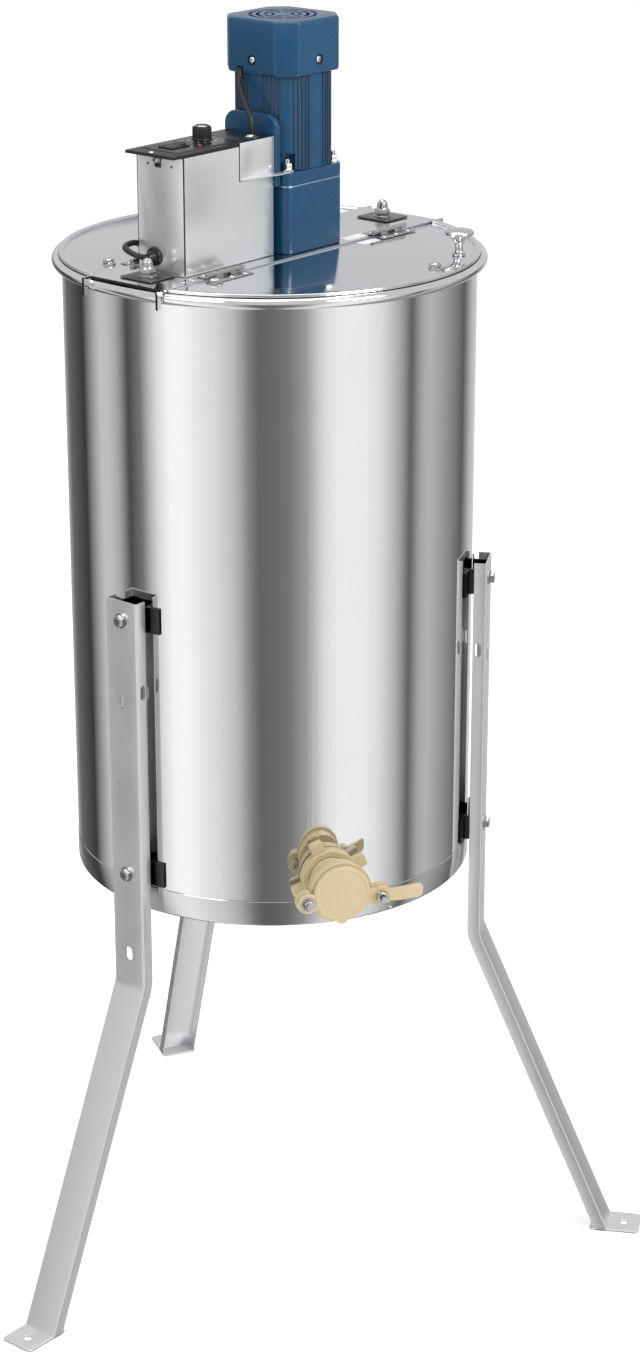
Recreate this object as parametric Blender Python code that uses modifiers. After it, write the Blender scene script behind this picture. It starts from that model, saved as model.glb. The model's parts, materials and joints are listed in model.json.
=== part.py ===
"""Electric honey extractor: a steel drum on three bolted legs, with a two-frame basket
inside, a bridge across the rim that carries a gear-motor and a control box, two hinged
half lids and a plastic honey gate. Metres, +Z up, floor at z = 0, the gate faces -Y."""
import math

import bmesh
import bpy
from mathutils import Matrix, Vector

# ---------------------------------------------------------------- driving dimensions
GAP = 0.0003                 # clearance between pieces that touch
DRUM_RADIUS = 0.195          # outside of the drum wall
SHEET = 0.0012               # drum sheet thickness
DRUM_BASE_Z = 0.400          # lower edge of the drum above the floor
BAND_HEIGHT = 0.025          # skirt band under the drum wall
BEAD_Z = 1.003               # centre of the rolled rim bead
BEAD_TUBE = 0.005            # radius of the bead's section
BEAD_RING = 0.1995           # radius of the bead's centre line
DRUM_SEGMENTS = 48

LEG_AZIMUTHS = {"leg_rear": 90.0, "leg_front_left": 210.0, "leg_front_right": 330.0}
LEG_WIDTH = 0.038
LEG_DEPTH = 0.0125
LEG_SHEET = 0.0015
LEG_FACE = 0.213             # outer face of the leg's web, from the drum axis
LEG_TOP_Z = 0.715
LEG_BEND_Z = 0.325
LEG_FOOT_RADIUS = 0.352      # where the web's outer face meets the floor
FOOT_TIP_RADIUS = 0.3835
LEG_BOLT_Z = (0.696, 0.440)
LEG_SLOT_Z = (0.615, 0.356)
BOLT_RADIUS = 0.003
BOLT_HOLE_RADIUS = 0.0036

GATE_AZIMUTH = -94.0
GATE_Z = 0.452
GATE_BORE = 0.016
GATE_NECK = 0.0205
GATE_EAR_Z = -0.006          # the ears sit a little below the gate's centre
GATE_PIVOT_Y = -0.033
GATE_CLAMP_Y = 0.038

BRIDGE_AZIMUTH = 30.0        # the bridge runs in line with the front left leg
BRIDGE_TOP_Z = BEAD_Z + 0.0079
BRIDGE_HALF_WIDTH = 0.046
BRIDGE_HALF_LENGTH = 0.196
BRIDGE_SHEET = 0.0025
RIM_BOLT_X = 0.168

LID_RADIUS = 0.198
LID_SHEET = 0.001
HINGE_Y = 0.0463
HINGE_Z = 0.0030
HINGE_PLACES = (-0.1155, 0.1205)
KNOB_X = 0.089               # lid knobs: both towards the drive end of the bridge
KNOB_Y = 0.155
HINGE_LENGTH = 0.050
BARREL_RADIUS = 0.0024
PIN_RADIUS = 0.0010

BOX_NEAR = -0.149            # control box, along the bridge
BOX_FAR = -0.027
BOX_HALF_WIDTH = 0.0285
BOX_HEIGHT = 0.111
TOP_PLATE_NEAR = -0.163

GEARBOX_X = 0.020            # centre of the gear case along the bridge
GEARBOX_HALF = 0.040
GEARBOX_HEIGHT = 0.063
COVER_TOP = 0.076
MOTOR_TOP = 0.166
FAN_COVER_BASE = 0.163
FAN_COVER_TOP = 0.213
FAN_COVER_HALF = 0.044
FAN_COVER_CHAMFER = 0.016

SHAFT_RADIUS = 0.008
BASKET_BOTTOM_Z = 0.478
BASKET_TOP_Z = 0.945
BASKET_HOOP = 0.176
BASKET_HALF_LENGTH = 0.142
BASKET_SCREEN_Y = 0.100
BASKET_GUARD_Y = 0.047
SPIDER_HEIGHT = 0.006
ROD_RADIUS = 0.003
WIRE_RADIUS = 0.0012

LEAD_RADIUS = 0.0025         # motor lead
CORD_RADIUS = 0.00275        # mains lead
HANK_LEFT = -0.133
HANK_RIGHT = -0.023
HANK_BASE = 0.0018
HANK_END_RADIUS = 0.03025    # five and a half cord diameters
HANK_Y = (0.0303, 0.0413)

# The origin is under the middle of the whole machine's outline, and the rear foot
# reaches further back than the gate reaches forward.
GATE_TIP_RADIUS = 0.2612
AXIS_Y = -(FOOT_TIP_RADIUS - GATE_TIP_RADIUS) / 2


# ---------------------------------------------------------------- scene and helpers
for old in list(bpy.data.objects):
    bpy.data.objects.remove(old, do_unlink=True)

parts = bpy.data.collections.new("honey_extractor")
cutters = bpy.data.collections.new("cutters")
bpy.context.scene.collection.children.link(parts)
bpy.context.scene.collection.children.link(cutters)


def material(name, color, roughness, metallic):
    """A Principled material in one plain finish."""
    made = bpy.data.materials.new(name)
    made.use_nodes = True
    shader = made.node_tree.nodes["Principled BSDF"]
    shader.inputs["Base Color"].default_value = (*color, 1.0)
    shader.inputs["Roughness"].default_value = roughness
    shader.inputs["Metallic"].default_value = metallic
    made.diffuse_color = (*color, 1.0)
    return made


POLISHED = material("polished_steel", (0.80, 0.80, 0.81), 0.12, 1.0)
SATIN = material("satin_steel", (0.56, 0.56, 0.56), 0.34, 1.0)
FASTENER = material("bolt_steel", (0.66, 0.66, 0.66), 0.22, 1.0)
BLUE = material("blue_paint", (0.055, 0.155, 0.245), 0.35, 0.0)
BLACK = material("black_plastic", (0.020, 0.020, 0.022), 0.40, 0.0)
CABLE = material("black_cable", (0.018, 0.018, 0.020), 0.50, 0.0)
CREAM = material("cream_plastic", (0.80, 0.71, 0.50), 0.45, 0.0)
NYLON = material("white_nylon", (0.82, 0.82, 0.78), 0.50, 0.0)
IRON = material("electrical_iron", (0.30, 0.30, 0.31), 0.45, 1.0)
BOARD = material("circuit_board", (0.03, 0.22, 0.10), 0.50, 0.0)


def frame_empty(name, parent=None, location=(0.0, 0.0, 0.0), turn_z=0.0):
    """An empty that holds a sub-assembly's own frame."""
    empty = bpy.data.objects.new(name, None)
    parts.objects.link(empty)
    empty.parent = parent
    empty.location = location
    empty.rotation_euler = (0.0, 0.0, math.radians(turn_z))
    return empty


def place(name, mesh, parent, finish, location=(0, 0, 0), rotation=(0, 0, 0)):
    """Link a mesh as one named piece in a frame."""
    piece = bpy.data.objects.new(name, mesh)
    parts.objects.link(piece)
    piece.parent = parent
    piece.location = location
    piece.rotation_euler = rotation
    mesh.materials.clear()
    mesh.materials.append(finish)
    return piece


def finished_mesh(bm, name, smooth=True):
    """Turn a bmesh into a mesh, with round surfaces shaded smooth."""
    mesh = bpy.data.meshes.new(name)
    bm.to_mesh(mesh)
    bm.free()
    if smooth:
        mesh.shade_smooth()
        mesh.set_sharp_from_angle(angle=math.radians(32))
    return mesh


def box_mesh(name, low, high, bevel=0.0):
    """A box between two corners, with its edges rounded by bevel."""
    bm = bmesh.new()
    size = [b - a for a, b in zip(low, high)]
    middle = [(a + b) / 2 for a, b in zip(low, high)]
    bmesh.ops.create_cube(bm, size=1.0, matrix=Matrix.Translation(middle) @ Matrix.Diagonal((*size, 1.0)))
    if bevel:
        bmesh.ops.bevel(bm, geom=bm.edges[:], offset=bevel, segments=1, affect="EDGES")
    return finished_mesh(bm, name, smooth=False)


def cylinder_mesh(name, radius, low, high, segments=16, at=(0.0, 0.0), axis="Z", top_radius=None):
    """A capped cylinder or cone along an axis, from low to high."""
    bm = bmesh.new()
    turn = {"Z": Matrix.Identity(4),
            "X": Matrix.Rotation(math.pi / 2, 4, "Y"),
            "Y": Matrix.Rotation(-math.pi / 2, 4, "X")}[axis]
    middle = {"Z": (at[0], at[1], (low + high) / 2),
              "X": ((low + high) / 2, at[0], at[1]),
              "Y": (at[0], (low + high) / 2, at[1])}[axis]
    bmesh.ops.create_cone(
        bm, cap_ends=True, segments=segments, radius1=radius,
        radius2=radius if top_radius is None else top_radius, depth=high - low,
        matrix=Matrix.Translation(middle) @ turn)
    return finished_mesh(bm, name)


def outline_mesh(name, loops, thickness, base=0.0):
    """A flat outline in XY, with any holes, filled and given a thickness above base."""
    curve = bpy.data.curves.new(name, "CURVE")
    curve.dimensions = "2D"
    curve.fill_mode = "BOTH"
    curve.extrude = thickness / 2
    for loop in loops:
        spline = curve.splines.new("POLY")
        spline.points.add(len(loop) - 1)
        for point, (x, y) in zip(spline.points, loop):
            point.co = (x, y, 0.0, 1.0)
        spline.use_cyclic_u = True
    mesh = welded_curve_mesh(curve)
    mesh.transform(Matrix.Translation((0.0, 0.0, base + thickness / 2)))
    return mesh


def welded_curve_mesh(curve):
    """The closed mesh of a curve's evaluated shape; the curve itself is removed."""
    holder = bpy.data.objects.new(curve.name, curve)
    cutters.objects.link(holder)
    bpy.context.view_layer.update()
    mesh = bpy.data.meshes.new_from_object(holder.evaluated_get(bpy.context.evaluated_depsgraph_get()))
    bpy.data.objects.remove(holder, do_unlink=True)
    bm = bmesh.new()
    bm.from_mesh(mesh)
    bmesh.ops.remove_doubles(bm, verts=bm.verts[:], dist=0.00001)
    bmesh.ops.recalc_face_normals(bm, faces=bm.faces[:])
    bm.to_mesh(mesh)
    bm.free()
    mesh.shade_smooth()
    mesh.set_sharp_from_angle(angle=math.radians(32))
    return mesh


def stand_up(mesh):
    """Turn an outline drawn in XY so that it stands in XZ, its thickness along +Y."""
    mesh.transform(Matrix(((1, 0, 0, 0), (0, 0, 1, 0), (0, 1, 0, 0), (0, 0, 0, 1))))
    mesh.flip_normals()
    return mesh


def face_outwards(mesh):
    """Turn an outline drawn in XY so that X becomes +Y, Y becomes +Z and depth runs along +X."""
    mesh.transform(Matrix(((0, 0, 1, 0), (1, 0, 0, 0), (0, 1, 0, 0), (0, 0, 0, 1))))
    return mesh


def turned(name, profile, parent, finish, segments=24, location=(0, 0, 0), rotation=(0, 0, 0)):
    """A turned piece: a closed profile of (radius, height), down its outer side, spun about Z."""
    bm = bmesh.new()
    verts = [bm.verts.new((r, 0.0, z)) for r, z in profile]
    closed = min(r for r, _ in profile) > 0.0
    for index in range(len(verts) - (0 if closed else 1)):
        bm.edges.new((verts[index], verts[(index + 1) % len(verts)]))
    piece = place(name, finished_mesh(bm, name, smooth=False), parent, finish, location, rotation)
    screw = piece.modifiers.new("turn", "SCREW")
    screw.steps = segments
    screw.render_steps = segments
    screw.use_merge_vertices = True
    screw.merge_threshold = 0.00001
    screw.use_smooth_shade = False
    return piece


def tube(name, points, radius, parent, finish, sides=2, keep_curve=True):
    """A round wire, rod or lead along a list of points."""
    curve = bpy.data.curves.new(name, "CURVE")
    curve.dimensions = "3D"
    curve.bevel_depth = radius
    curve.bevel_resolution = sides
    curve.use_fill_caps = True
    curve.materials.append(finish)
    spline = curve.splines.new("POLY")
    spline.points.add(len(points) - 1)
    for point, where in zip(spline.points, points):
        point.co = (*where, 1.0)
    if not keep_curve:
        return welded_curve_mesh(curve)
    piece = bpy.data.objects.new(name, curve)
    parts.objects.link(piece)
    piece.parent = parent
    return piece


def cut(piece, mesh, operation="DIFFERENCE"):
    """Cut a mesh, given in the piece's own frame, from a piece, or join it on."""
    tool = bpy.data.objects.new(f"{piece.name}_cutter", mesh)
    cutters.objects.link(tool)
    tool.parent = piece
    tool.hide_render = True
    tool.display_type = "WIRE"
    modifier = piece.modifiers.new("cut", "BOOLEAN")
    modifier.operation = operation
    modifier.object = tool
    return piece


def join(piece, mesh):
    """Weld another solid on to a piece."""
    return cut(piece, mesh, "UNION")


def baked(piece):
    """A piece's finished mesh, in its own frame; the piece and its cutters are removed."""
    bpy.context.view_layer.update()
    mesh = bpy.data.meshes.new_from_object(piece.evaluated_get(bpy.context.evaluated_depsgraph_get()))
    for tool in list(piece.children):
        bpy.data.objects.remove(tool, do_unlink=True)
    bpy.data.objects.remove(piece, do_unlink=True)
    return mesh


def place_copy(name, mesh, spot, parent, finish):
    """One more copy of a repeated piece, with its place in its mesh."""
    copy = mesh.copy()
    copy.name = name
    copy.transform(spot)
    return place(name, copy, parent, finish)


def circle(radius, count, at=(0.0, 0.0), start=0.0, end=360.0):
    """Points round a circle, or along an arc with both of its ends."""
    whole = abs(end - start) >= 360.0
    steps = count if whole else count - 1
    angles = [math.radians(start + (end - start) * k / steps) for k in range(count)]
    return [(at[0] + radius * math.cos(a), at[1] + radius * math.sin(a)) for a in angles]


def rounded_rectangle(half_x, half_y, radius, steps, at=(0.0, 0.0)):
    """A rectangle's outline with arcs at its corners."""
    points = []
    for corner, (sx, sy) in enumerate(((1, 1), (-1, 1), (-1, -1), (1, -1))):
        middle = (at[0] + sx * (half_x - radius), at[1] + sy * (half_y - radius))
        points += circle(radius, steps, middle, 90.0 * corner, 90.0 * corner + 90.0)
    return points


def smooth_route(points, spacing):
    """Points at an even spacing along a smooth curve through the given ones."""
    knots = [Vector(p) for p in points]
    knots = [2 * knots[0] - knots[1]] + knots + [2 * knots[-1] - knots[-2]]
    fine = []
    for a, b, c, d in zip(knots, knots[1:], knots[2:], knots[3:]):
        for step in range(20):
            t = step / 20
            fine.append(0.5 * ((2 * b) + (c - a) * t + (2 * a - 5 * b + 4 * c - d) * t * t
                               + (3 * b - a - 3 * c + d) * t ** 3))
    fine.append(knots[-2])
    lengths = [0.0]
    for a, b in zip(fine, fine[1:]):
        lengths.append(lengths[-1] + (b - a).length)
    count = max(2, round(lengths[-1] / spacing))
    route, k = [], 0
    for step in range(count + 1):
        target = lengths[-1] * step / count
        while k < len(lengths) - 2 and lengths[k + 1] < target:
            k += 1
        share = (target - lengths[k]) / max(lengths[k + 1] - lengths[k], 1e-9)
        route.append(fine[k].lerp(fine[k + 1], share))
    return route


def turn_about_z(degrees):
    return Matrix.Rotation(math.radians(degrees), 4, "Z")


def shift(x=0.0, y=0.0, z=0.0):
    return Matrix.Translation((x, y, z))


# ---------------------------------------------------------------- drum
axis_frame = frame_empty("drum_axis", location=(0.0, AXIS_Y, 0.0))


def make_drum():
    """The rolled wall with its wire bead, the skirt band and the dished floor."""
    inner = DRUM_RADIUS - SHEET
    seam_z = DRUM_BASE_Z + BAND_HEIGHT
    bead = circle(BEAD_TUBE, 9, (BEAD_RING, BEAD_Z), 180.0, -152.0)
    wall = turned("drum_wall", bead + [(DRUM_RADIUS, seam_z + GAP), (inner, seam_z + GAP)],
                  axis_frame, POLISHED, DRUM_SEGMENTS)
    outlet = cylinder_mesh("outlet", GATE_NECK + 0.0005, 0.15, 0.23, 20, (0.0, GATE_Z), "X")
    outlet.transform(turn_about_z(GATE_AZIMUTH))
    cut(wall, outlet)

    turned("base_band",
           [(DRUM_RADIUS + 0.0003, seam_z), (DRUM_RADIUS + 0.0003, DRUM_BASE_Z + 0.001),
            (DRUM_RADIUS - 0.0005, DRUM_BASE_Z), (DRUM_RADIUS - 0.004, DRUM_BASE_Z),
            (DRUM_RADIUS - 0.004, DRUM_BASE_Z + SHEET), (DRUM_RADIUS - 0.0009, DRUM_BASE_Z + SHEET),
            (DRUM_RADIUS - 0.0009, seam_z)],
           axis_frame, SATIN, DRUM_SEGMENTS)

    edge = DRUM_RADIUS - 0.0013
    turned("drum_floor",
           [(0.0, 0.434), (0.030, 0.434), (edge - 0.004, 0.4165), (edge, 0.4145), (edge, 0.404),
            (edge - SHEET, 0.404), (edge - SHEET, 0.4135), (0.030, 0.4325), (0.0, 0.4325)],
           axis_frame, POLISHED, DRUM_SEGMENTS)


def make_bottom_bearing():
    """A cup on the drum floor with a nylon bush round the shaft's pointed end."""
    base = 0.434 + GAP
    turned("bearing_seat",
           [(0.0, base + 0.004), (0.0155, base + 0.004), (0.0155, base + 0.026), (0.022, base + 0.026),
            (0.024, base + 0.003), (0.028, base), (0.0, base)],
           axis_frame, FASTENER, 20)
    turned("bearing_bush",
           [(SHAFT_RADIUS + GAP, base + 0.028), (0.018, base + 0.028), (0.018, base + 0.0263),
            (0.0152, base + 0.0263), (0.0152, base + 0.012), (SHAFT_RADIUS + GAP, base + 0.012)],
           axis_frame, NYLON, 20)


# ---------------------------------------------------------------- legs
def leg_line(depth, past=0.0):
    """The leg seen from the side, at a depth behind its outer face, run past both its ends."""
    splay = math.atan2(LEG_FOOT_RADIUS - LEG_FACE, LEG_BEND_Z)
    bend_radius = 0.030 + depth
    reach = bend_radius * math.tan(splay / 2)
    middle = (LEG_FACE - depth + bend_radius, LEG_BEND_Z - depth * math.tan(splay / 2) + reach)
    bend = circle(bend_radius, 4, middle, 180.0, 180.0 + math.degrees(splay))
    foot_x = LEG_FOOT_RADIUS - depth / math.cos(splay)
    return [(LEG_FACE - depth, LEG_TOP_Z + past), *bend, (foot_x + past * math.tan(splay), -past)]


def leg_slab(name, near, far, half_width, past=0.0):
    """A solid that follows the leg between two depths behind its outer face."""
    outer, inner = leg_line(near, past), leg_line(far, past)
    mesh = outline_mesh(name, [outer + inner[::-1]], 2 * half_width, -half_width)
    return stand_up(mesh)


def make_legs():
    """Three bent channels with a foot plate, each on two hat brackets with weld nuts."""
    first = place("leg", leg_slab("leg", 0.0, LEG_DEPTH, LEG_WIDTH / 2), None, SATIN)
    cut(first, leg_slab("hollow", LEG_SHEET, LEG_DEPTH + 0.010, LEG_WIDTH / 2 - LEG_SHEET, 0.010))
    foot = outline_mesh("foot", [rounded_rectangle(0.0255, LEG_WIDTH / 2, 0.004, 3, (FOOT_TIP_RADIUS - 0.0255, 0)),
                                 circle(0.0042, 10, (0.367, 0.0))], 0.0022)
    join(first, foot)
    for z in LEG_BOLT_Z:
        cut(first, cylinder_mesh("hole", BOLT_HOLE_RADIUS, 0.205, 0.220, 10, (0.0, z), "X"))
    for z in LEG_SLOT_Z:
        slot = outline_mesh("slot", [rounded_rectangle(0.0042, 0.0072, 0.0040, 4, (0.0, z))], 0.015, 0.205)
        cut(first, face_outwards(slot))
    side = stand_up(outline_mesh("side_slot", [rounded_rectangle(0.003, 0.0070, 0.0028, 4, (0.2060, 0.627))],
                                 0.060, -0.030))
    cut(first, side)
    shape = baked(first)
    for name, azimuth in LEG_AZIMUTHS.items():
        place(name, shape.copy(), axis_frame, SATIN, rotation=(0, 0, math.radians(azimuth)))

    bracket = bracket_mesh()
    for name, azimuth in LEG_AZIMUTHS.items():
        for level, z in zip(("upper", "lower"), LEG_BOLT_Z):
            place_copy(f"{name}_{level}_bracket", bracket, turn_about_z(azimuth) @ shift(z=z), axis_frame, SATIN)


def bracket_mesh():
    """A hat-section strip 25 mm tall: flanges on the drum and a crown inside the leg."""
    thick, half = 0.0015, 0.0125
    crown = LEG_FACE - LEG_SHEET - GAP
    skin = DRUM_RADIUS + 0.0005

    def side(offset):
        flange = circle(skin + offset, 3, (0.0, 0.0), 9.0, 4.45 + math.degrees(offset / skin))
        return [*flange, (crown - thick + offset, 0.0150 + offset)]

    outer, inner = side(thick), side(0.0)
    loop = outer + [(x, -y) for x, y in outer[::-1]] + inner_return(inner)
    piece = place("bracket", outline_mesh("bracket", [loop], 2 * half, -half), None, SATIN)
    join(piece, cylinder_mesh("weld_nut", 0.0060, crown - thick - 0.0045, crown - thick + 0.0003, 6, axis="X"))
    cut(piece, cylinder_mesh("hole", BOLT_HOLE_RADIUS, crown - 0.01, crown + 0.01, 10, (0.0, 0.0), "X"))
    return baked(piece)


def inner_return(inner):
    """The inner side of a mirrored strip, walked back to where the outer side began."""
    return [(x, -y) for x, y in inner] + inner[::-1]


# ---------------------------------------------------------------- honey gate
gate_frame = frame_empty("gate_frame", axis_frame, (0.0, 0.0, GATE_Z), GATE_AZIMUTH)
GATE_FACE_X = 0.2415         # where the shutter slides on the body


def eared_plate(name, radius, ear_radius, thickness, base_x, lip=0.0, location=(0, 0, 0)):
    """A round plate across the gate's axis with an ear at each bolt, in a frame at location."""
    outline = circle(radius, 28)
    lowest = min(range(len(outline)), key=lambda k: outline[k][1])
    outline[lowest] = (0.0, -radius - lip)
    to_frame = Matrix.Translation(-Vector(location))
    plate = face_outwards(outline_mesh(name, [outline], thickness, base_x))
    plate.transform(to_frame)
    piece = place(name, plate, gate_frame, CREAM, location)
    for y in (GATE_PIVOT_Y, GATE_CLAMP_Y):
        ear = face_outwards(outline_mesh("ear", [circle(ear_radius, 14, (y, GATE_EAR_Z))], thickness, base_x))
        web = box_mesh("web", (base_x, min(0.0, y), GATE_EAR_Z - ear_radius * 0.8),
                       (base_x + thickness, max(0.0, y), GATE_EAR_Z + ear_radius * 0.8))
        for mesh in (ear, web):
            mesh.transform(to_frame)
            join(piece, mesh)
    return piece


def make_gate():
    """A threaded body through the wall, its lock nut, a swinging shutter and its wing nut."""
    body = eared_plate("gate_body", 0.0300, 0.0105, 0.0065, GATE_FACE_X - 0.0065)
    join(body, cylinder_mesh("barrel", 0.0275, 0.222, GATE_FACE_X - 0.006, 24, axis="X"))
    join(body, cylinder_mesh("neck", GATE_NECK, 0.186, 0.224, 24, axis="X"))
    join(body, cylinder_mesh("flange", 0.0265, 0.1845, 0.1880, 24, axis="X"))
    cut(body, cylinder_mesh("bore", GATE_BORE, 0.170, 0.260, 20, axis="X"))
    cut(body, cylinder_mesh("hole", BOLT_HOLE_RADIUS, 0.225, 0.255, 10, (GATE_PIVOT_Y, GATE_EAR_Z), "X"))
    join(body, cylinder_mesh("stud", BOLT_RADIUS, GATE_FACE_X - 0.0045, GATE_FACE_X + 0.0155, 10,
                             (GATE_CLAMP_Y, GATE_EAR_Z), "X"))

    nut = place("gate_lock_nut", face_outwards(outline_mesh(
        "nut", [circle(0.0270, 24), circle(0.0212, 24)], 0.0110, 0.1957)), gate_frame, CREAM)
    for angle in (22.0, 112.0, 202.0, 292.0):
        lug = box_mesh("lug", (0.1985, 0.0235, -0.0065), (0.2055, 0.0385, 0.0065), 0.002)
        lug.transform(Matrix.Rotation(math.radians(angle), 4, "X"))
        join(nut, lug)

    base = GATE_FACE_X + GAP
    shutter = eared_plate("gate_shutter", 0.0275, 0.0100, 0.0050, base, lip=0.0035,
                          location=(base, GATE_PIVOT_Y, GATE_EAR_Z))
    lever = box_mesh("lever", (0.0002, GATE_CLAMP_Y - GATE_PIVOT_Y - 0.004, -0.0072),
                     (0.0046, 0.1120, 0.0088), 0.002)
    join(shutter, lever)
    cut(shutter, cylinder_mesh("hole", BOLT_HOLE_RADIUS, -0.01, 0.01, 10, axis="X"))
    reach = GATE_CLAMP_Y - GATE_PIVOT_Y
    cut(shutter, cylinder_mesh("hole", 0.0042, -0.01, 0.01, 10, (reach, 0.0), "X"))
    cut(shutter, box_mesh("notch", (-0.01, reach - 0.0042, -0.020), (0.01, reach + 0.0042, 0.0)))

    back = GATE_FACE_X - 0.0065 - GAP
    bolt = place("gate_pivot_bolt", cylinder_mesh("shank", BOLT_RADIUS, back - 0.002, base + 0.0120, 10, axis="X"),
                 gate_frame, FASTENER, (0.0, GATE_PIVOT_Y, GATE_EAR_Z))
    join(bolt, cylinder_mesh("head", 0.0052, back - 0.0040, back, 6, axis="X"))
    join(bolt, cylinder_mesh("nut", 0.0054, base + 0.0050 + GAP, base + 0.0095, 6, axis="X"))

    wing_base = base + 0.0050 + GAP
    wing = place("gate_wing_nut", face_outwards(outline_mesh(
        "wing", [circle(0.0056, 14), circle(BOLT_RADIUS + GAP, 14)], 0.0055)),
        gate_frame, FASTENER, (wing_base, GATE_CLAMP_Y, GATE_EAR_Z), (math.radians(35), 0, 0))
    for side in (1, -1):
        blade = outline_mesh("blade", [[(0.0045, 0.0010), (0.0110, 0.0055), (0.0125, 0.0105),
                                        (0.0095, 0.0115), (0.0045, 0.0060)]], 0.0020, -0.0010)
        blade.transform(Matrix(((0, 1, 0, 0), (side, 0, 0, 0), (0, 0, 1, 0), (0, 0, 0, 1))))
        if side == 1:
            blade.flip_normals()
        join(wing, blade)


# ---------------------------------------------------------------- basket
def spider(name, low, bore, rests):
    """A hoop with a hub, two spokes along X and two cross bars; rests carry the frames."""
    high = low + SPIDER_HEIGHT
    piece = turned(name, [(BASKET_HOOP - 0.006, high), (BASKET_HOOP, high), (BASKET_HOOP, low),
                          (BASKET_HOOP - 0.006, low)], axis_frame, SATIN, 40)
    join(piece, cylinder_mesh("hub", 0.018, low, high, 20))
    join(piece, box_mesh("spokes", (-0.172, -0.004, low + 0.0005), (0.172, 0.004, high - 0.0005)))
    for side in (1, -1):
        x = side * BASKET_HALF_LENGTH
        join(piece, box_mesh("bar", (x - 0.004, -0.1055, low + 0.0003), (x + 0.004, 0.1055, high - 0.0003)))
        if rests:
            y = side * (BASKET_SCREEN_Y + BASKET_GUARD_Y) / 2
            join(piece, box_mesh("rest", (-0.1425, y - 0.003, low + 0.0008), (0.1425, y + 0.003, high - 0.0008)))
    cut(piece, cylinder_mesh("bore", bore, low - 0.01, high + 0.01, 20))
    return piece


def spread(low, high, count):
    """Evenly spaced values from low to high."""
    return [low + (high - low) * k / (count - 1) for k in range(count)]


def screen_mesh(name, low, high, columns, rows):
    """A flat welded grid in XZ: a border strip and square-set wires, open between them."""
    half, border = BASKET_HALF_LENGTH + 0.003, 0.006
    loops = [[(-half, low), (half, low), (half, high), (-half, high)]]
    xs = spread(-half + border, half - border, columns + 1)
    zs = spread(low + border, high - border, rows + 1)
    for x_start, x_end in zip(xs, xs[1:]):
        for z_start, z_end in zip(zs, zs[1:]):
            loops.append([(x_start + WIRE_RADIUS, z_start + WIRE_RADIUS), (x_end - WIRE_RADIUS, z_start + WIRE_RADIUS),
                          (x_end - WIRE_RADIUS, z_end - WIRE_RADIUS), (x_start + WIRE_RADIUS, z_end - WIRE_RADIUS)])
    return stand_up(outline_mesh(name, loops, 2 * WIRE_RADIUS, -WIRE_RADIUS))


def make_basket():
    """The welded cage that holds two comb frames, on a shaft coupled to the gear case."""
    spider("top_spider", BASKET_TOP_Z - SPIDER_HEIGHT, SHAFT_RADIUS + GAP, rests=False)
    lower = spider("bottom_spider", BASKET_BOTTOM_Z, SHAFT_RADIUS + GAP, rests=True)
    low = BASKET_BOTTOM_Z + SPIDER_HEIGHT + GAP
    high = BASKET_TOP_Z - SPIDER_HEIGHT - GAP
    for x in (-BASKET_HALF_LENGTH, BASKET_HALF_LENGTH):
        for y in (-BASKET_GUARD_Y, BASKET_GUARD_Y):
            join(lower, cylinder_mesh("guard_rod", ROD_RADIUS, low - 0.003, high, 8, (x, y)))
    screen = screen_mesh("screen", low, high, 5, 8)
    for name, side in (("front", -1), ("back", 1)):
        place_copy(f"{name}_screen", screen, shift(y=side * BASKET_SCREEN_Y), axis_frame, SATIN)

    tip = 0.434 + GAP + 0.004 + GAP
    turned("basket_shaft", [(0.0, 0.9720), (SHAFT_RADIUS, 0.9720), (SHAFT_RADIUS, tip + 0.005),
                            (0.003, tip), (0.0, tip)], axis_frame, FASTENER, 16)
    coupling = turned("shaft_coupling", [(SHAFT_RADIUS + GAP, 0.990), (0.0145, 0.990), (0.0145, 0.954),
                                         (SHAFT_RADIUS + GAP, 0.954)], axis_frame, FASTENER, 20)
    for z in (0.963, 0.981):
        cut(coupling, cylinder_mesh("set_screw", 0.002, 0.005, 0.02, 8, (0.0, z), "X"))


# ---------------------------------------------------------------- bridge and lids
bridge_frame = frame_empty("bridge_frame", axis_frame, (0.0, 0.0, BRIDGE_TOP_Z), BRIDGE_AZIMUTH)


def make_bridge():
    """A folded channel across the rim that hooks over the bead at its four corners."""
    bridge = place("bridge", box_mesh("bridge", (-BRIDGE_HALF_LENGTH, -BRIDGE_HALF_WIDTH, -BRIDGE_SHEET),
                                      (BRIDGE_HALF_LENGTH, BRIDGE_HALF_WIDTH, 0.0)), bridge_frame, POLISHED)
    hook, notch_out, notch_in, drop = 0.2050, 0.2000, 0.1878, -0.0165
    half = [(hook, -0.0003), (hook, drop), (notch_out, drop), (notch_out, -0.0024),
            (notch_in, -0.0024), (notch_in, drop)]
    loop = half + [(-x, z) for x, z in half[::-1]]
    for low in (-BRIDGE_HALF_WIDTH + 0.0001, BRIDGE_HALF_WIDTH - 0.0021):
        join(bridge, stand_up(outline_mesh("flange", [loop], 0.0020, low)))
    cut(bridge, cylinder_mesh("shaft_hole", 0.0130, -0.01, 0.01, 20))
    for side in (1, -1):
        cut(bridge, cylinder_mesh("stud_hole", 0.0040, -0.01, 0.01, 10, (side * RIM_BOLT_X, 0.0)))

    bolt = turned("bolt", [(0.0, 0.0165), (0.0030, 0.0157), (0.0050, 0.0130), (0.0054, 0.0085), (0.0054, 0.0065),
                           (0.0, 0.0065)], None, FASTENER, 16)
    join(bolt, cylinder_mesh("hex", 0.0076, GAP, 0.0073, 6))
    join(bolt, cylinder_mesh("shank", 0.0035, -0.0200, 0.0010, 10))
    shape = baked(bolt)
    for name, side in (("near", -1), ("far", 1)):
        place_copy(f"bridge_bolt_{name}", shape, shift(x=side * RIM_BOLT_X), bridge_frame, FASTENER)


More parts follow.
